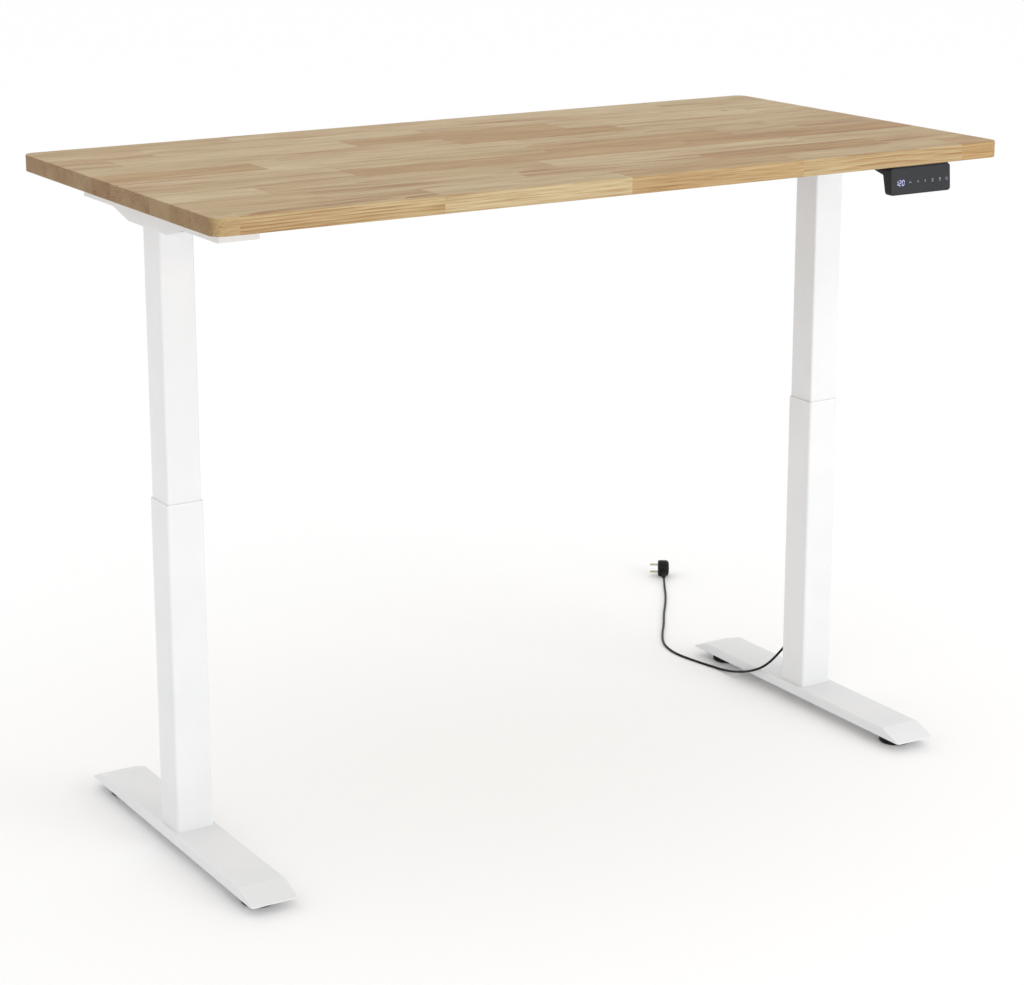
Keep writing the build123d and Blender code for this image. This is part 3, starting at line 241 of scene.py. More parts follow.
@dataclass(frozen=True)
class OiledOak(Finish):
    """Edge-glued oak staves under a matt oil: long tan, pale and orange-brown strips, growth
    rings that run out into cathedral figure, short dark pores, and browner end grain."""

    stave_width: float = 80 * MM
    short_stave: float = 0.30
    longer_by: float = 0.45
    ring_pitch: float = 5.5 * MM
    ring_wander: float = 40 * MM
    heart_spread: float = 50 * MM
    heart_below: float = -1165 * MM
    pore_width: float = 1.8 * MM
    pore_length: float = 110 * MM
    pore_depth: float = 0.2 * MM
    first_row: float = 45.0
    row_shift: float = 7.3
    lightest: str = "#C3B089"
    darkest: str = "#AE8C54"
    tones: tuple[tuple[float, str], ...] = (
        (0.15, "#B39562"),
        (0.22, "#BAA477"),
        (0.60, "#BDAA81"),
        (0.85, "#C2AF88"),
    )

    def paint(self, tree: Tree, shader: bpy.types.Node) -> None:
        """Draw staves, rings, pores and knots through the solid wood.

        Args:
            tree: The material's node tree.
            shader: The surface shader to link to.
        """
        place = add_node(tree, "TexCoord", out="Object")
        split = add_node(tree, "SeparateXYZ", inputs={0: place}).node.outputs
        across = add_node(
            tree,
            "Math",
            {"operation": "MULTIPLY_ADD"},
            {0: split[1], 1: 1 / self.stave_width, 2: self.first_row},
        )
        row = add_node(tree, "Math", {"operation": "FLOOR"}, {0: across})
        row_chance = add_node(tree, "TexWhiteNoise", {"noise_dimensions": "1D"}, {"W": row})
        stave_length = add_node(
            tree,
            "Math",
            {"operation": "MULTIPLY_ADD"},
            {0: row_chance, 1: self.longer_by, 2: self.short_stave},
        )
        strips = add_node(tree, "Math", {"operation": "DIVIDE"}, {0: split[0], 1: stave_length})
        start = add_node(
            tree,
            "Math",
            {"operation": "MULTIPLY_ADD"},
            {0: row_chance, 1: self.row_shift, 2: strips},
        )
        strip = add_node(tree, "Math", {"operation": "FLOOR"}, {0: start})
        stave = add_node(tree, "CombineXYZ", inputs={0: row, 1: strip, 2: 3.0})
        chance = add_node(
            tree, "TexWhiteNoise", {"noise_dimensions": "3D"}, {"Vector": stave}, "Color"
        )
        tone = add_node(
            tree, "TexWhiteNoise", {"noise_dimensions": "3D"}, {"Vector": stave}, "Value"
        )
        chances = add_node(tree, "SeparateXYZ", inputs={0: chance}).node.outputs

        figure = self.growth_rings(tree, place, across, chance, chances, split)
        pores = self.pores(tree, place, chance)

        staves = add_node(tree, "ValToRGB", inputs={"Fac": tone})
        ramp = staves.node.color_ramp
        ramp.elements[0].color = linear(self.darkest)
        ramp.elements[1].color = linear(self.lightest)
        for position, shade in self.tones:
            ramp.elements.new(position).color = linear(shade)

        ringed = self.darkened(tree, staves, figure, "#D0A569")
        pored = self.darkened(tree, ringed, pores, "#CDB394")
        cloud = self.clouds(tree, place, chance)
        clouded = self.darkened(tree, pored, cloud, "#EBDDC8")
        facing = add_node(tree, "TexCoord", out="Normal")
        ends = add_node(tree, "SeparateXYZ", inputs={0: facing})
        end_grain = add_node(tree, "Math", {"operation": "ABSOLUTE"}, {0: ends})
        end_share = add_node(tree, "Math", {"operation": "POWER"}, {0: end_grain, 1: 4.0})
        wood = self.darkened(tree, clouded, end_share, "#C9BBA8")
        knots = self.knots(tree, place)
        browned = {"Factor": knots, 6: wood, 7: linear("#7A5636")}
        knotted = add_node(tree, "Mix", {"data_type": "RGBA"}, browned, MIXED)
        tree.links.new(knotted, shader.inputs["Base Color"])
        sheen = add_node(
            tree, "MapRange", inputs={"Value": pores, "To Min": 0.50, "To Max": 0.66}
        )
        tree.links.new(sheen, shader.inputs["Roughness"])
        relief = add_node(
            tree,
            "Bump",
            {"invert": True},
            {"Strength": 0.18, "Distance": self.pore_depth, "Height": pores},
        )
        tree.links.new(relief, shader.inputs["Normal"])

    def darkened(self, tree: Tree, wood: Socket, share: Socket, shade: str) -> Socket:
        """Multiply the wood by a shade where a mark lies.

        Args:
            tree: The material's node tree.
            wood: The wood's colour so far.
            share: How much of the mark there is, 0 to 1.
            shade: The sRGB hex colour to multiply by.

        Returns:
            The darkened colour.
        """
        colours = {"Factor": share, 6: wood, 7: linear(shade)}
        settings = {"data_type": "RGBA", "blend_type": "MULTIPLY"}
        return add_node(tree, "Mix", settings, colours, MIXED)

    def growth_rings(
        self,
        tree: Tree,
        place: Socket,
        across: Socket,
        chance: Socket,
        chances: Sequence[Socket],
        split: Sequence[Socket],
    ) -> Socket:
        """Draw rings about a heart line that lies below each stave and wanders along it.

        Args:
            tree: The material's node tree.
            place: The point in the wood.
            across: The point's place across the staves, in stave widths.
            chance: A random vector for each stave.
            chances: The same vector's three numbers.
            split: The point's three numbers.

        Returns:
            The share of dark late wood, 0 to 1.
        """
        drift = add_node(
            tree,
            "VectorMath",
            {"operation": "MULTIPLY_ADD"},
            {0: place, 1: (1.2, 6.0, 6.0), 2: chance},
        )
        apart = add_node(tree, "VectorMath", {"operation": "SCALE"}, {0: chance, "Scale": 30.0})
        wander_at = add_node(tree, "VectorMath", {"operation": "ADD"}, {0: drift, 1: apart})
        wander = add_node(
            tree,
            "TexNoise",
            inputs={"Vector": wander_at, "Scale": 1.0, "Detail": 2.0, "Roughness": 0.45},
        )
        inside = add_node(tree, "Math", {"operation": "FRACT"}, {0: across})
        heart_y = add_node(tree, "Math", {"operation": "SUBTRACT"}, {0: inside, 1: chances[0]})
        beside = add_node(
            tree, "Math", {"operation": "MULTIPLY"}, {0: heart_y, 1: self.stave_width}
        )
        heart_z = add_node(
            tree,
            "Math",
            {"operation": "MULTIPLY_ADD"},
            {0: chances[1], 1: self.heart_spread, 2: self.heart_below},
        )
        above = add_node(tree, "Math", {"operation": "ADD"}, {0: split[2], 1: heart_z})
        spoke = add_node(tree, "CombineXYZ", inputs={0: beside, 1: above})
        radius = add_node(tree, "VectorMath", {"operation": "LENGTH"}, {0: spoke}, "Value")
        bent = add_node(
            tree,
            "Math",
            {"operation": "MULTIPLY_ADD"},
            {0: wander, 1: self.ring_wander, 2: radius},
        )
        turns = add_node(tree, "Math", {"operation": "DIVIDE"}, {0: bent, 1: self.ring_pitch})
        phase = add_node(tree, "Math", {"operation": "FRACT"}, {0: turns})
        late_wood = add_node(tree, "Math", {"operation": "POWER"}, {0: phase, 1: 1.8})
        by_stave = {"From Min": 0.45, "From Max": 0.70, "To Min": 0.25, "To Max": 0.8}
        bold_stave = add_node(tree, "MapRange", inputs={"Value": chances[2], **by_stave})
        stretch = add_node(
            tree,
            "VectorMath",
            {"operation": "MULTIPLY_ADD"},
            {0: place, 1: (3.5, 22.0, 22.0), 2: apart},
        )
        patch = add_node(tree, "TexNoise", inputs={"Vector": stretch, "Scale": 1.0, "Detail": 2.0})
        by_patch = {"From Min": 0.46, "From Max": 0.62, "To Min": 0.35, "To Max": 1.6}
        bold_patch = add_node(tree, "MapRange", inputs={"Value": patch, **by_patch})
        bold = add_node(tree, "Math", {"operation": "MULTIPLY"}, {0: bold_stave, 1: bold_patch})
        clamped = {"operation": "MULTIPLY", "use_clamp": True}
        return add_node(tree, "Math", clamped, {0: late_wood, 1: bold})

    def pores(self, tree: Tree, place: Socket, chance: Socket) -> Socket:
        """Draw the short dark pores, wider than real ones so that they show.

        Args:
            tree: The material's node tree.
            place: The point in the wood.
            chance: A random vector for each stave.

        Returns:
            The share of open pore, 0 to 1.
        """
        stretch = (1 / self.pore_length, 1 / self.pore_width, 1 / self.pore_width)
        apart = add_node(tree, "VectorMath", {"operation": "SCALE"}, {0: chance, "Scale": 50.0})
        along = add_node(
            tree, "VectorMath", {"operation": "MULTIPLY_ADD"}, {0: place, 1: stretch, 2: apart}
        )
        streak = add_node(
            tree,
            "TexNoise",
            inputs={"Vector": along, "Scale": 1.0, "Detail": 3.0, "Roughness": 0.6},
        )
        return add_node(
            tree, "MapRange", inputs={"Value": streak, "From Min": 0.44, "From Max": 0.72}
        )

    def clouds(self, tree: Tree, place: Socket, chance: Socket) -> Socket:
        """Draw slow changes of tone along each stave.

        Args:
            tree: The material's node tree.
            place: The point in the wood.
            chance: A random vector for each stave.

        Returns:
            The share of darker wood, 0 to 1.
        """
        apart = add_node(tree, "VectorMath", {"operation": "SCALE"}, {0: chance, "Scale": 9.0})
        along = add_node(
            tree,
            "VectorMath",
            {"operation": "MULTIPLY_ADD"},
            {0: place, 1: (2.2, 30.0, 30.0), 2: apart},
        )
        patch = add_node(tree, "TexNoise", inputs={"Vector": along, "Scale": 1.0, "Detail": 3.0})
        return add_node(
            tree, "MapRange", inputs={"Value": patch, "From Min": 0.35, "From Max": 0.70}
        )

    def knots(self, tree: Tree, place: Socket) -> Socket:
        """Scatter a few small dark knots.

        Args:
            tree: The material's node tree.
            place: The point in the wood.

        Returns:
            The share of knot, 0 to 1.
        """
        spread = add_node(
            tree, "VectorMath", {"operation": "MULTIPLY"}, {0: place, 1: (3.1, 5.3, 0.0)}
        )
        cells = add_node(
            tree, "TexVoronoi", inputs={"Vector": spread, "Scale": 1.0}, out="Distance"
        )
        pick = add_node(tree, "SeparateXYZ", inputs={0: cells.node.outputs["Color"]})
        kept = add_node(tree, "Math", {"operation": "GREATER_THAN"}, {0: pick, 1: 0.70})
        size = {"From Min": 0.015, "From Max": 0.045, "To Min": 0.8, "To Max": 0.0}
        core = add_node(tree, "MapRange", inputs={"Value": cells, **size})
        return add_node(tree, "Math", {"operation": "MULTIPLY"}, {0: core, 1: kept})


@dataclass(frozen=True)
class PowderCoat(Finish):
    """Satin polyester powder baked onto steel: an even white with a fine orange-peel skin that
    softens the highlights, and a slow drift in tone and gloss from uneven film thickness."""

    colour: str
    thin_colour: str
    roughness: float = 0.42
    peel: float = 2.5 * MM
    peel_depth: float = 0.1 * MM

    def paint(self, tree: Tree, shader: bpy.types.Node) -> None:
        """Draw the drift in tone and the orange peel.

        Args:
            tree: The material's node tree.
            shader: The surface shader to link to.
        """
        place = add_node(tree, "TexCoord", out="Object")
        film = self.patches(tree, place, 7.0, 3.0)
        coat = self.two_tone(tree, film, (self.thin_colour, self.colour))
        tree.links.new(coat, shader.inputs["Base Color"])
        self.vary_gloss(tree, shader, film, self.roughness, 0.06)
        skin = add_node(
            tree, "TexNoise", inputs={"Vector": place, "Scale": 1 / self.peel, "Detail": 2.0}
        )
        relief = add_node(
            tree, "Bump", inputs={"Strength": 0.12, "Distance": self.peel_depth, "Height": skin}
        )
        tree.links.new(relief, shader.inputs["Normal"])


@dataclass(frozen=True)
class Moulded(Finish):
    """Injection-moulded plastic: one dye through and through, with a spark-eroded grain that
    breaks up its sheen and a slight mottle where the flow cooled unevenly."""

    colour: str
    mottle: str
    roughness: float
    grain: float = 0.8 * MM
    depth: float = 0.06 * MM
    run: Axis = Axis.ROUND
    ior: float = 1.5
    reflection: float = 0.5

    def paint(self, tree: Tree, shader: bpy.types.Node) -> None:
        """Draw the mottle and the moulded grain.

        Args:
            tree: The material's node tree.
            shader: The surface shader to link to.
        """
        shader.inputs["IOR"].default_value = self.ior
        shader.inputs["Specular IOR Level"].default_value = self.reflection
        place = add_node(tree, "TexCoord", out="Object")
        flow = self.patches(tree, place, 25.0, 3.0)
        dye = self.two_tone(tree, flow, (self.mottle, self.colour))
        tree.links.new(dye, shader.inputs["Base Color"])
        skin = Skin(self.grain, self.depth, 0.3, self.roughness, 0.08, self.run)
        self.worked_skin(tree, shader, place, skin)


@dataclass(frozen=True)
class Metal(Finish):
    """Bare or plated metal: a bright body with fine tool marks along the way it was worked, and
    patches of duller plating or mill scale."""

    colour: str
    dull: str
    roughness: float
    marks: float = 0.6 * MM
    run: Axis = Axis.ROUND
    depth: float = 0.05 * MM

    def paint(self, tree: Tree, shader: bpy.types.Node) -> None:
        """Draw the patches and the tool marks.

        Args:
            tree: The material's node tree.
            shader: The surface shader to link to.
        """
        shader.inputs["Metallic"].default_value = 1.0
        place = add_node(tree, "TexCoord", out="Object")
        patch = self.patches(tree, place, 60.0, 4.0)
        body = self.two_tone(tree, patch, (self.dull, self.colour))
        tree.links.new(body, shader.inputs["Base Color"])
        skin = Skin(self.marks, self.depth, 0.2, self.roughness, 0.1, self.run)
        self.worked_skin(tree, shader, place, skin)


@dataclass(frozen=True)
class BoardLacquer(Finish):
    """Green solder resist over etched copper: paler tracks in a dark gloss."""

    track: float = 2.5 * MM
    lacquer: str = "#0E4A2A"
    thin_lacquer: str = "#125634"
    copper_under: str = "#2F7A4C"

    def paint(self, tree: Tree, shader: bpy.types.Node) -> None:
        """Draw copper tracks under the lacquer.

        Args:
            tree: The material's node tree.
            shader: The surface shader to link to.
        """
        shader.inputs["Roughness"].default_value = 0.25
        place = add_node(tree, "TexCoord", out="Object")
        tracks = add_node(
            tree,
            "TexBrick",
            inputs={
                "Vector": place,
                "Scale": 1 / self.track,
                "Color1": linear(self.lacquer),
                "Color2": linear(self.thin_lacquer),
                "Mortar": linear(self.copper_under),
                "Mortar Size": 0.03,
            },
            out="Color",
        )
        tree.links.new(tracks, shader.inputs["Base Color"])


@dataclass(frozen=True)
class LitMark(Finish):
    """Light from a diode behind smoked plastic: a cool glow, unevenly bright in small patches."""

    colour: str
    edge_colour: str
    glow: float

    def paint(self, tree: Tree, shader: bpy.types.Node) -> None:
        """Draw a glow with a slight unevenness from the diodes' spacing.

        Args:
            tree: The material's node tree.
            shader: The surface shader to link to.
        """
        shader.inputs["Roughness"].default_value = 0.35
        shader.inputs["Emission Strength"].default_value = self.glow
        place = add_node(tree, "TexCoord", out="Object")
        diodes = self.patches(tree, place, 400.0, 1.0)
        light = self.two_tone(tree, diodes, (self.edge_colour, self.colour))
        tree.links.new(light, shader.inputs["Base Color"])
        tree.links.new(light, shader.inputs["Emission Color"])


OAK = OiledOak("oiled_oak_staves")
WHITE_COAT = PowderCoat("satin_white_powder_coat", "#E4E4E5", "#DFE0E1")
ZINC = Metal("zinc_plated_steel", "#B9BCC0", "#9FA3A8", 0.38)
GROUND_STEEL = Metal("ground_steel", "#C6C7C9", "#B4B5B8", 0.28, 0.5 * MM, Axis.Z)
ROLLED_STEEL = Metal("rolled_steel", "#8A8C90", "#6E7074", 0.5, 0.9 * MM, Axis.Z)
BRASS = Metal("turned_brass", "#C9A765", "#B08E50", 0.32, 0.5 * MM)
NICKEL = Metal("nickel_plated_brass", "#CFC8B4", "#BDB59E", 0.24, 0.4 * MM)
DRIVE_PAINT = Moulded("drive_unit_enamel", "#3A3B3E", "#333437", 0.45)
ACETAL = Moulded("natural_acetal", "#EDEDEC", "#E8E8E7", 0.42)
GLIDE_NYLON = Moulded("black_nylon", "#121213", "#0E0E0F", 0.48, reflection=0.2)
BOX_ABS = Moulded("black_abs", "#1F2022", "#1A1B1D", 0.55, reflection=0.3)
SOCKET_NYLON = Moulded("socket_nylon", "#242425", "#1D1D1E", 0.5)
HANDSET_ABS = Moulded("anthracite_abs", "#242529", "#202125", 0.5, reflection=0.2)
SMOKED_PANEL = Moulded(
    "smoked_acrylic", "#242529", "#212226", 0.34, 0.5 * MM, 0.01 * MM, ior=1.49, reflection=0.25
)
CORD_PVC = Moulded(
    "black_pvc_sheath", "#0E0E0F", "#0A0A0B", 0.42, 0.5 * MM, 0.05 * MM, reflection=0.2
)
PLUG_PVC = Moulded("moulded_plug_pvc", "#151617", "#111213", 0.46, reflection=0.2)
BOARD = BoardLacquer("lacquered_circuit_board")
LED_DIGITS = LitMark("cool_white_diode_light", "#C4C9F2", "#A9AEE4", 0.55)
KEY_LIGHT = LitMark("dim_key_light", "#A9ABB4", "#94969F", 0.12)


def dress(frame: Frame, finish: Finish, *names: str) -> None:
    """Give CAD nodes a finish.

    Args:
        frame: The loaded frame.
        finish: The finish they share.
        names: The nodes.
    """
    material = finish.material()
    for name in names:
        piece = frame["nodes"][name]
        for place in piece.material_slots:
            place.material = material
        if not piece.material_slots:
            piece.data.materials.append(material)
        LOG.info("%s: %s", name, finish.name)


def body_holding(frame: Frame, node: str) -> str:
    """Find the body that a CAD node moves with.

    Args:
        frame: The loaded frame.
        node: The node's name.

    Returns:
        The body's name.
    """
    groups = frame["record"]["behaviour"]["bodies"]
    return next(body for body, members in groups.items() if node in members)


@dataclass
class Desktop:
    """The plank top and the screws that hold the frame to it."""

    def dress(self, frame: Frame) -> None:
        """Oil the wood and plate the screws."""
        dress(frame, OAK, "desktop")
        dress(frame, ZINC, "desktop_screws")


@dataclass
class UnderFrame:
    """The side brackets, collar plates and cross rails under the top."""

    def dress(self, frame: Frame) -> None:
        """Coat the steelwork and plate its bolts."""
        dress(frame, WHITE_COAT, "front_cross_rail", "rear_cross_rail")
        for side in SIDES:
            dress(frame, WHITE_COAT, f"{side}_side_bracket", f"{side}_collar_plate")
        dress(frame, ZINC, "frame_bolts")


@dataclass
class LiftColumn:
    """One telescopic column with its drive."""

    side: str

    def dress(self, frame: Frame) -> None:
        """Coat the tubes and finish the drive inside them."""
        coated = (f"{self.side}_outer_column", f"{self.side}_inner_column")
        dress(frame, WHITE_COAT, *coated)
        dress(frame, ACETAL, f"{self.side}_upper_bush", f"{self.side}_lower_bush")
        dress(frame, DRIVE_PAINT, f"{self.side}_motor", f"{self.side}_gearbox")
        dress(frame, ROLLED_STEEL, f"{self.side}_motor_mount", f"{self.side}_nut_tube")
        dress(frame, GROUND_STEEL, f"{self.side}_lead_screw", f"{self.side}_screw_bearing")
        dress(frame, BRASS, f"{self.side}_drive_nut")


@dataclass
class Foot:
    """One sheet-steel foot with its levelling glides."""

    side: str

    def dress(self, frame: Frame) -> None:
        """Coat the foot, and finish its bolts, nuts and glides."""
        dress(frame, WHITE_COAT, f"{self.side}_foot")
        dress(frame, ZINC, f"{self.side}_foot_bolts", f"{self.side}_weld_nuts")
        for place in PLACES:
            dress(frame, ZINC, f"{self.side}_{place}_glide_stud")
            dress(frame, GLIDE_NYLON, f"{self.side}_{place}_glide_pad")


@dataclass
class ControlBox:
    """The control box between the cross rails."""

    def dress(self, frame: Frame) -> None:
        """Finish the box, its board and its sockets."""
        dress(frame, BOX_ABS, "control_box_shell", "control_box_lid")
        dress(frame, BOARD, "control_board")
        dress(frame, SOCKET_NYLON, "control_box_sockets")


class Segment(Enum):
    """The seven strokes of a numeral, each from one corner to another of a 1 by 2 grid."""

    TOP = ((0, 2), (1, 2))
    UPPER_RIGHT = ((1, 2), (1, 1))
    LOWER_RIGHT = ((1, 1), (1, 0))
    BOTTOM = ((0, 0), (1, 0))
    LOWER_LEFT = ((0, 1), (0, 0))
    UPPER_LEFT = ((0, 2), (0, 1))
    MIDDLE = ((0, 1), (1, 1))


NUMERALS = {
    "0": [s for s in Segment if s is not Segment.MIDDLE],
    "1": [Segment.UPPER_RIGHT, Segment.LOWER_RIGHT],
    "2": [Segment.TOP, Segment.UPPER_RIGHT, Segment.MIDDLE, Segment.LOWER_LEFT, Segment.BOTTOM],
}


@dataclass(frozen=True)
class PanelFace:
    """The touch panel's front: its middle, the way up it and the way out of it."""

    middle: Vector
    up: Vector
    outward: Vector

    @classmethod
    def of(cls, frame: Frame) -> PanelFace:
        """Measure the face from the panel's own mesh.

        Args:
            frame: The loaded frame.

        Returns:
            The measured face.
        """
        points = [v.co for v in frame["nodes"]["handset_panel"].data.vertices]
        low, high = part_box("handset_panel")
        band = 0.5 * MM
        bottom = min(p.y for p in points if p.z < low[2] + band)
        top = min(p.y for p in points if p.z > high[2] - band)
        up = Vector((0, top - bottom, high[2] - low[2])).normalized()
        middle = Vector(((low[0] + high[0]) / 2, (top + bottom) / 2, (low[2] + high[2]) / 2))
        return cls(middle, up, Vector((1, 0, 0)).cross(up))

    def point(self, across: float, along: float, level: float) -> Vector:
        """Turn a place on the face into a point in the frame.

        Args:
            across: To the right of the middle.
            along: Up from the middle.
            level: Out from the face.

        Returns:
            The point in metres.
        """
        return self.middle + Vector((1, 0, 0)) * across + self.up * along + self.outward * level


@dataclass
class Handset:
    """The touch handset under the front edge, with its height display and six key marks."""

    lift: float = 0.06 * MM
    sink: float = 0.10 * MM
    digit_height: float = 9.4 * MM
    digit_width: float = 4.6 * MM
    digit_pitch: float = 7.4 * MM
    digit_stroke: float = 1.1 * MM
    digit_gap: float = 0.35 * MM
    slant: float = 0.10
    display_x: float = -49.0 * MM
    display_v: float = -3.0 * MM
    reading: str = "120"
    key_stroke: float = 0.7 * MM
    key_height: float = 4.6 * MM
    key_v: float = -3.0 * MM
    ring_sides: int = 16

    def dress(self, frame: Frame) -> None:
        """Finish the housing, panel, plate and board."""
        dress(frame, HANDSET_ABS, "handset_housing", "handset_plate")
        dress(frame, SMOKED_PANEL, "handset_panel")
        dress(frame, BOARD, "handset_board")

    def build(self, frame: Frame) -> None:
        """Put the display's numerals and the key marks on the panel.

        Args:
            frame: The loaded frame.
        """
        face = PanelFace.of(frame)
        digits = self.mark_mesh("handset_digits", face, self.digit_outlines())
        digits.data.materials.append(LED_DIGITS.material())
        keys = self.mark_mesh("handset_key_marks", face, self.key_outlines())
        keys.data.materials.append(KEY_LIGHT.material())
        for marks in (digits, keys):
            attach(marks, body_holding(frame, "handset_panel"))
            LOG.info("%s: %d points", marks.name, len(marks.data.vertices))

    def mark_mesh(
        self, name: str, face: PanelFace, outlines: list[list[Vector]]
    ) -> bpy.types.Object:
        """Make thin raised marks on the panel's face.

        Args:
            name: The new piece's name.
            face: The panel's front.
            outlines: Closed outlines on the face, across and up from its middle.

        Returns:
            The new mesh object.
        """
        points: list[Vector] = []
        faces: list[list[int]] = []
        for outline in outlines:
            first, count = len(points), len(outline)
            for level in (-self.sink, self.lift):
                points += [face.point(p.x, p.y, level) for p in outline]
            faces.append([first + count + i for i in range(count)])
            faces.append([first + i for i in reversed(range(count))])
            for i in range(count):
                j = (i + 1) % count
                faces.append([first + i, first + j, first + count + j, first + count + i])
        mesh = bpy.data.meshes.new(name)
        mesh.from_pydata(points, [], faces)
        mesh.validate()
        piece = bpy.data.objects.new(name, mesh)
        bpy.context.scene.collection.objects.link(piece)
        return piece

    def digit_outlines(self) -> list[list[Vector]]:
        """Lay out the seven-stroke numerals of the reading.

        Returns:
            One pointed bar for each lit stroke.
        """
        outlines = []
        half = self.digit_stroke / 2
        for place, numeral in enumerate(self.reading):
            shift = self.display_x + (place - (len(self.reading) - 1) / 2) * self.digit_pitch
            for segment in NUMERALS[numeral]:
                ends = [
                    Vector(((a - 0.5) * self.digit_width, (b - 1) * self.digit_height / 2))
                    for a, b in segment.value
                ]
                along = (ends[1] - ends[0]).normalized()
                side = Vector((-along.y, along.x)) * half
                start = ends[0] + along * self.digit_gap
                end = ends[1] - along * self.digit_gap
                bar = [
                    start,
                    start + along * half + side,
                    end - along * half + side,
                    end,
                    end - along * half - side,
                    start + along * half - side,
                ]
                leant = [
                    Vector((shift + p.x + p.y * self.slant, self.display_v + p.y)) for p in bar
                ]
                outlines.append(leant[::-1])
        return outlines

    def key_outlines(self) -> list[list[Vector]]:
        """Lay out the key marks: up, down, three memory numbers and a save ring.

        Returns:
            One closed outline for each mark's stroke.
        """
        h = self.key_height / 2
        w = self.key_height / 2.6
        turns = [math.tau * i / self.ring_sides for i in range(self.ring_sides + 1)]
        ring = [Vector((math.cos(turn), math.sin(turn))) * h for turn in turns]
        marks = (
            (-25.0, [Vector((-w, -h / 2)), Vector((0, h / 2)), Vector((w, -h / 2))]),
            (-6.6, [Vector((-w, h / 2)), Vector((0, -h / 2)), Vector((w, h / 2))]),
            (10.6, [Vector((-w / 2, h / 2)), Vector((0, h)), Vector((0, -h))]),
            (
                27.8,
                [
                    Vector((-w, h / 2)),
                    Vector((-w / 2, h)),
                    Vector((w / 2, h)),
                    Vector((w, h / 2)),
                    Vector((w, h / 5)),
                    Vector((-w, -h)),
                    Vector((w, -h)),
                ],
            ),
            (
                44.8,
                [
                    Vector((-w, h)),
                    Vector((w, h)),
                    Vector((0, h / 5)),
                    Vector((w / 2, h / 5)),
                    Vector((w, -h / 5)),
                    Vector((w, -h * 0.6)),
                    Vector((w / 2, -h)),
                    Vector((-w / 2, -h)),
                    Vector((-w, -h * 0.6)),
                ],
            ),
            (61.5, ring),
        )
        outlines = []
        for across, path in marks:
            for a, b in zip(path, path[1:]):
                along = (b - a).normalized() * self.key_stroke / 2
                side = Vector((-along.y, along.x))
                bar = [a - along - side, b + along - side, b + along + side, a - along + side]
                outlines.append([Vector((across * MM + p.x, self.key_v + p.y)) for p in bar])
        return outlines


@dataclass
class MainsLead:
    """The mains lead from its anchor on the right column to the round plug, lying on the floor."""

    diameter: float = 5 * MM
    length: float = 0.868
    boot_root: tuple[float, float, float] = (698.0, 37.0, 127.0)
    boot_length: float = 30.0
    on_floor: float = 2.5

    def dress(self, frame: Frame) -> None:
        """Finish the anchor, the plug and its pins."""
        dress(frame, PLUG_PVC, "cord_anchor", "plug_body", "plug_boot")
        dress(frame, ZINC, "cord_anchor_screws")
        dress(frame, NICKEL, "plug_pins")

    def route(self) -> list[Vector]:
        """List the bends that steer the lead, from the anchor's boot to the plug's boot.

        Returns:
            Points in metres in the frame.
        """
        boot_root = Vector(self.boot_root)
        first_turn = Vector((672.0, 61.0, 77.4))
        boot_tip = boot_root + (first_turn - boot_root).normalized() * self.boot_length
        floor = self.on_floor
        bends = [
            boot_tip,
            first_turn,
            Vector((651.0, 75.0, 52.0)),
            Vector((640.0, 106.0, 34.0)),
            Vector((643.0, 152.0, 17.0)),
            Vector((644.0, 200.0, 4.5)),
            Vector((637.0, 248.0, floor)),
            Vector((625.0, 300.0, floor)),
            Vector((618.0, 356.0, floor)),
            Vector((630.0, 412.0, floor)),
            Vector((665.0, 467.0, floor)),
            Vector((709.0, 523.0, floor)),
            Vector((751.0, 583.0, floor)),
            Vector((797.0, 642.0, floor)),
            Vector((836.0, 697.0, floor)),
            Vector((868.0, 748.0, floor)),
            Vector((889.7, 780.9, 10.1)),
        ]
        return [bend * MM for bend in bends]

    def build(self, frame: Frame) -> None:
        """Args:
            frame: The loaded frame.
        """
        route = self.route()
        line = bpy.data.curves.new("mains_lead", "CURVE")
        line.dimensions = "3D"
        line.bevel_depth = self.diameter / 2
        line.bevel_resolution = 6
        line.resolution_u = 12
        line.use_fill_caps = True
        spline = line.splines.new("NURBS")
        spline.points.add(len(route) - 1)
        for point, bend in zip(spline.points, route):
            point.co = (*bend, 1.0)
        spline.order_u = 3
        spline.use_endpoint_u = True
        line.materials.append(CORD_PVC.material())
        lead = bpy.data.objects.new("mains_lead", line)
        bpy.context.scene.collection.objects.link(lead)
        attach(lead, body_holding(frame, "mains_cord"))
        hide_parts("mains_cord")
        LOG.info("mains_lead: %.3f m", self.length)


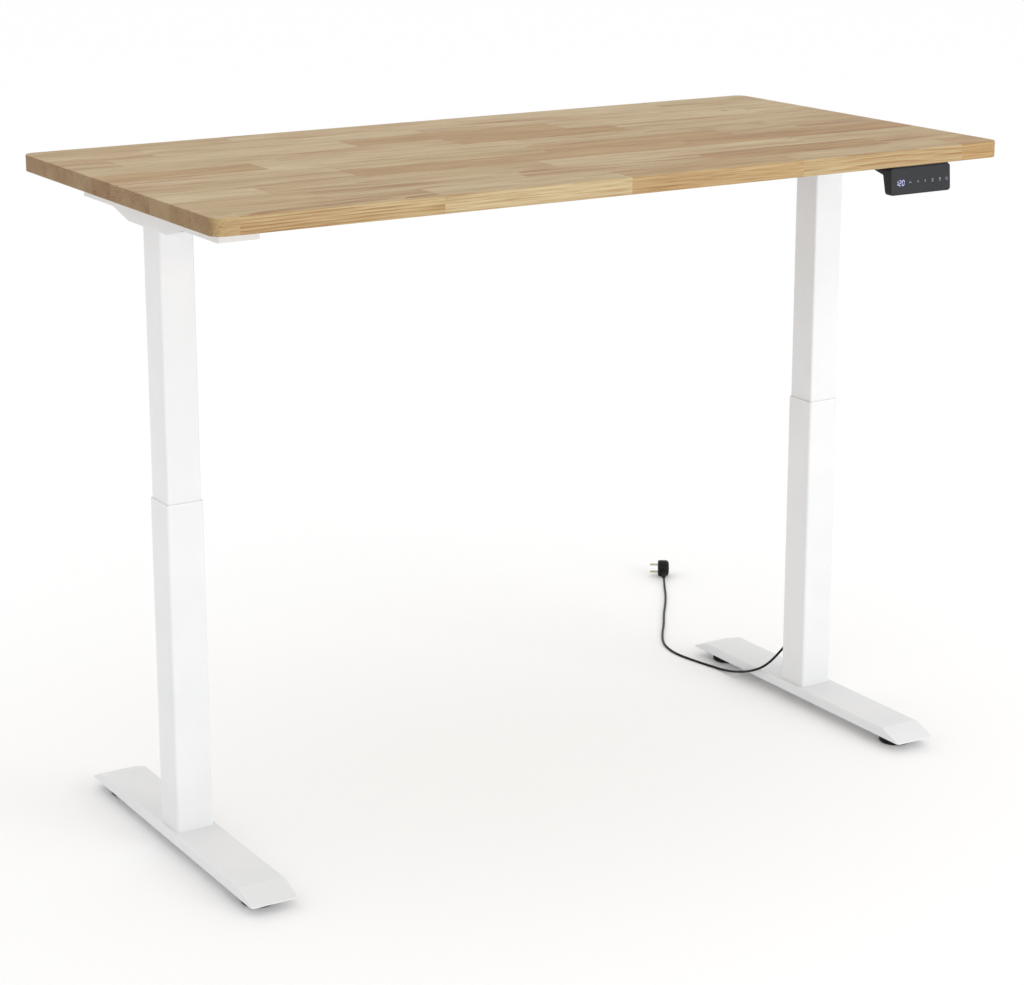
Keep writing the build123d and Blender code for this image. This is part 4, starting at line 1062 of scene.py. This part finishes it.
@dataclass
class Studio:
    """The pale floor, the soft lights and the camera."""

    camera_place: tuple[float, float, float] = (-2.4249, -3.8996, 1.8685)
    camera_down: float = 13.759
    camera_yaw: float = -31.713
    lens: float = 89.17
    shift_y: float = -0.10
    floor_size: float = 120.0
    paper: str = "#FCFCFC"
    room_colour: str = "#FFFFFF"
    room_light: float = 1.02
    key_place: tuple[float, float, float] = (2.6, -6.2, 1.7)
    key_size: float = 3.2
    key_power: float = 125.0
    desk_middle: tuple[float, float, float] = (0.0, 0.0, 0.7)

    def build(self) -> None:
        """Make the camera, then the floor and the lights."""
        self.add_camera()
        self.add_floor()
        self.add_room()
        self.add_softbox()
        bpy.context.scene.view_settings.view_transform = "Standard"

    def add_camera(self) -> None:
        """Stand the camera at the front left, looking slightly down."""
        data = bpy.data.cameras.new("camera")
        data.lens = self.lens
        data.shift_y = self.shift_y
        camera = bpy.data.objects.new("camera", data)
        camera.location = self.camera_place
        camera.rotation_euler = Euler(
            (math.radians(90 - self.camera_down), 0, math.radians(self.camera_yaw))
        )
        bpy.context.scene.collection.objects.link(camera)
        bpy.context.scene.camera = camera

    def add_floor(self) -> None:
        """Lay the plain floor."""
        half = self.floor_size / 2
        mesh = bpy.data.meshes.new("studio_floor")
        corners = [(-half, -half, 0), (half, -half, 0), (half, half, 0), (-half, half, 0)]
        mesh.from_pydata(corners, [], [(0, 1, 2, 3)])
        material = bpy.data.materials.new("studio_paper")
        material.use_nodes = True
        paper = material.node_tree.nodes["Principled BSDF"]
        paper.inputs["Base Color"].default_value = linear(self.paper)
        paper.inputs["Roughness"].default_value = 0.9
        mesh.materials.append(material)
        floor = bpy.data.objects.new("studio_floor", mesh)
        bpy.context.scene.collection.objects.link(floor)

    def add_room(self) -> None:
        """Fill the room with even white light."""
        world = bpy.data.worlds.new("studio_room")
        world.use_nodes = True
        background = world.node_tree.nodes["Background"]
        background.inputs["Color"].default_value = linear(self.room_colour)
        background.inputs["Strength"].default_value = self.room_light
        bpy.context.scene.world = world

    def add_softbox(self) -> None:
        """Hang one square softbox that faces the desk."""
        data = bpy.data.lights.new("key_softbox", "AREA")
        data.size = self.key_size
        data.energy = self.key_power
        light = bpy.data.objects.new("key_softbox", data)
        light.location = self.key_place
        aim = Vector(self.desk_middle) - Vector(self.key_place)
        light.rotation_euler = aim.to_track_quat("-Z", "Y").to_euler()
        bpy.context.scene.collection.objects.link(light)


def main() -> None:
    """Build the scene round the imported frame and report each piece."""
    logging.basicConfig(level=logging.INFO, format="%(name)s %(message)s")
    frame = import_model()
    Studio().build()
    lead = MainsLead()
    lead.build(frame)
    lead.dress(frame)
    Desktop().dress(frame)
    UnderFrame().dress(frame)
    for side in SIDES:
        LiftColumn(side).dress(frame)
        Foot(side).dress(frame)
    ControlBox().dress(frame)
    handset = Handset()
    handset.dress(frame)
    handset.build(frame)


if __name__ == "__main__":
    main()
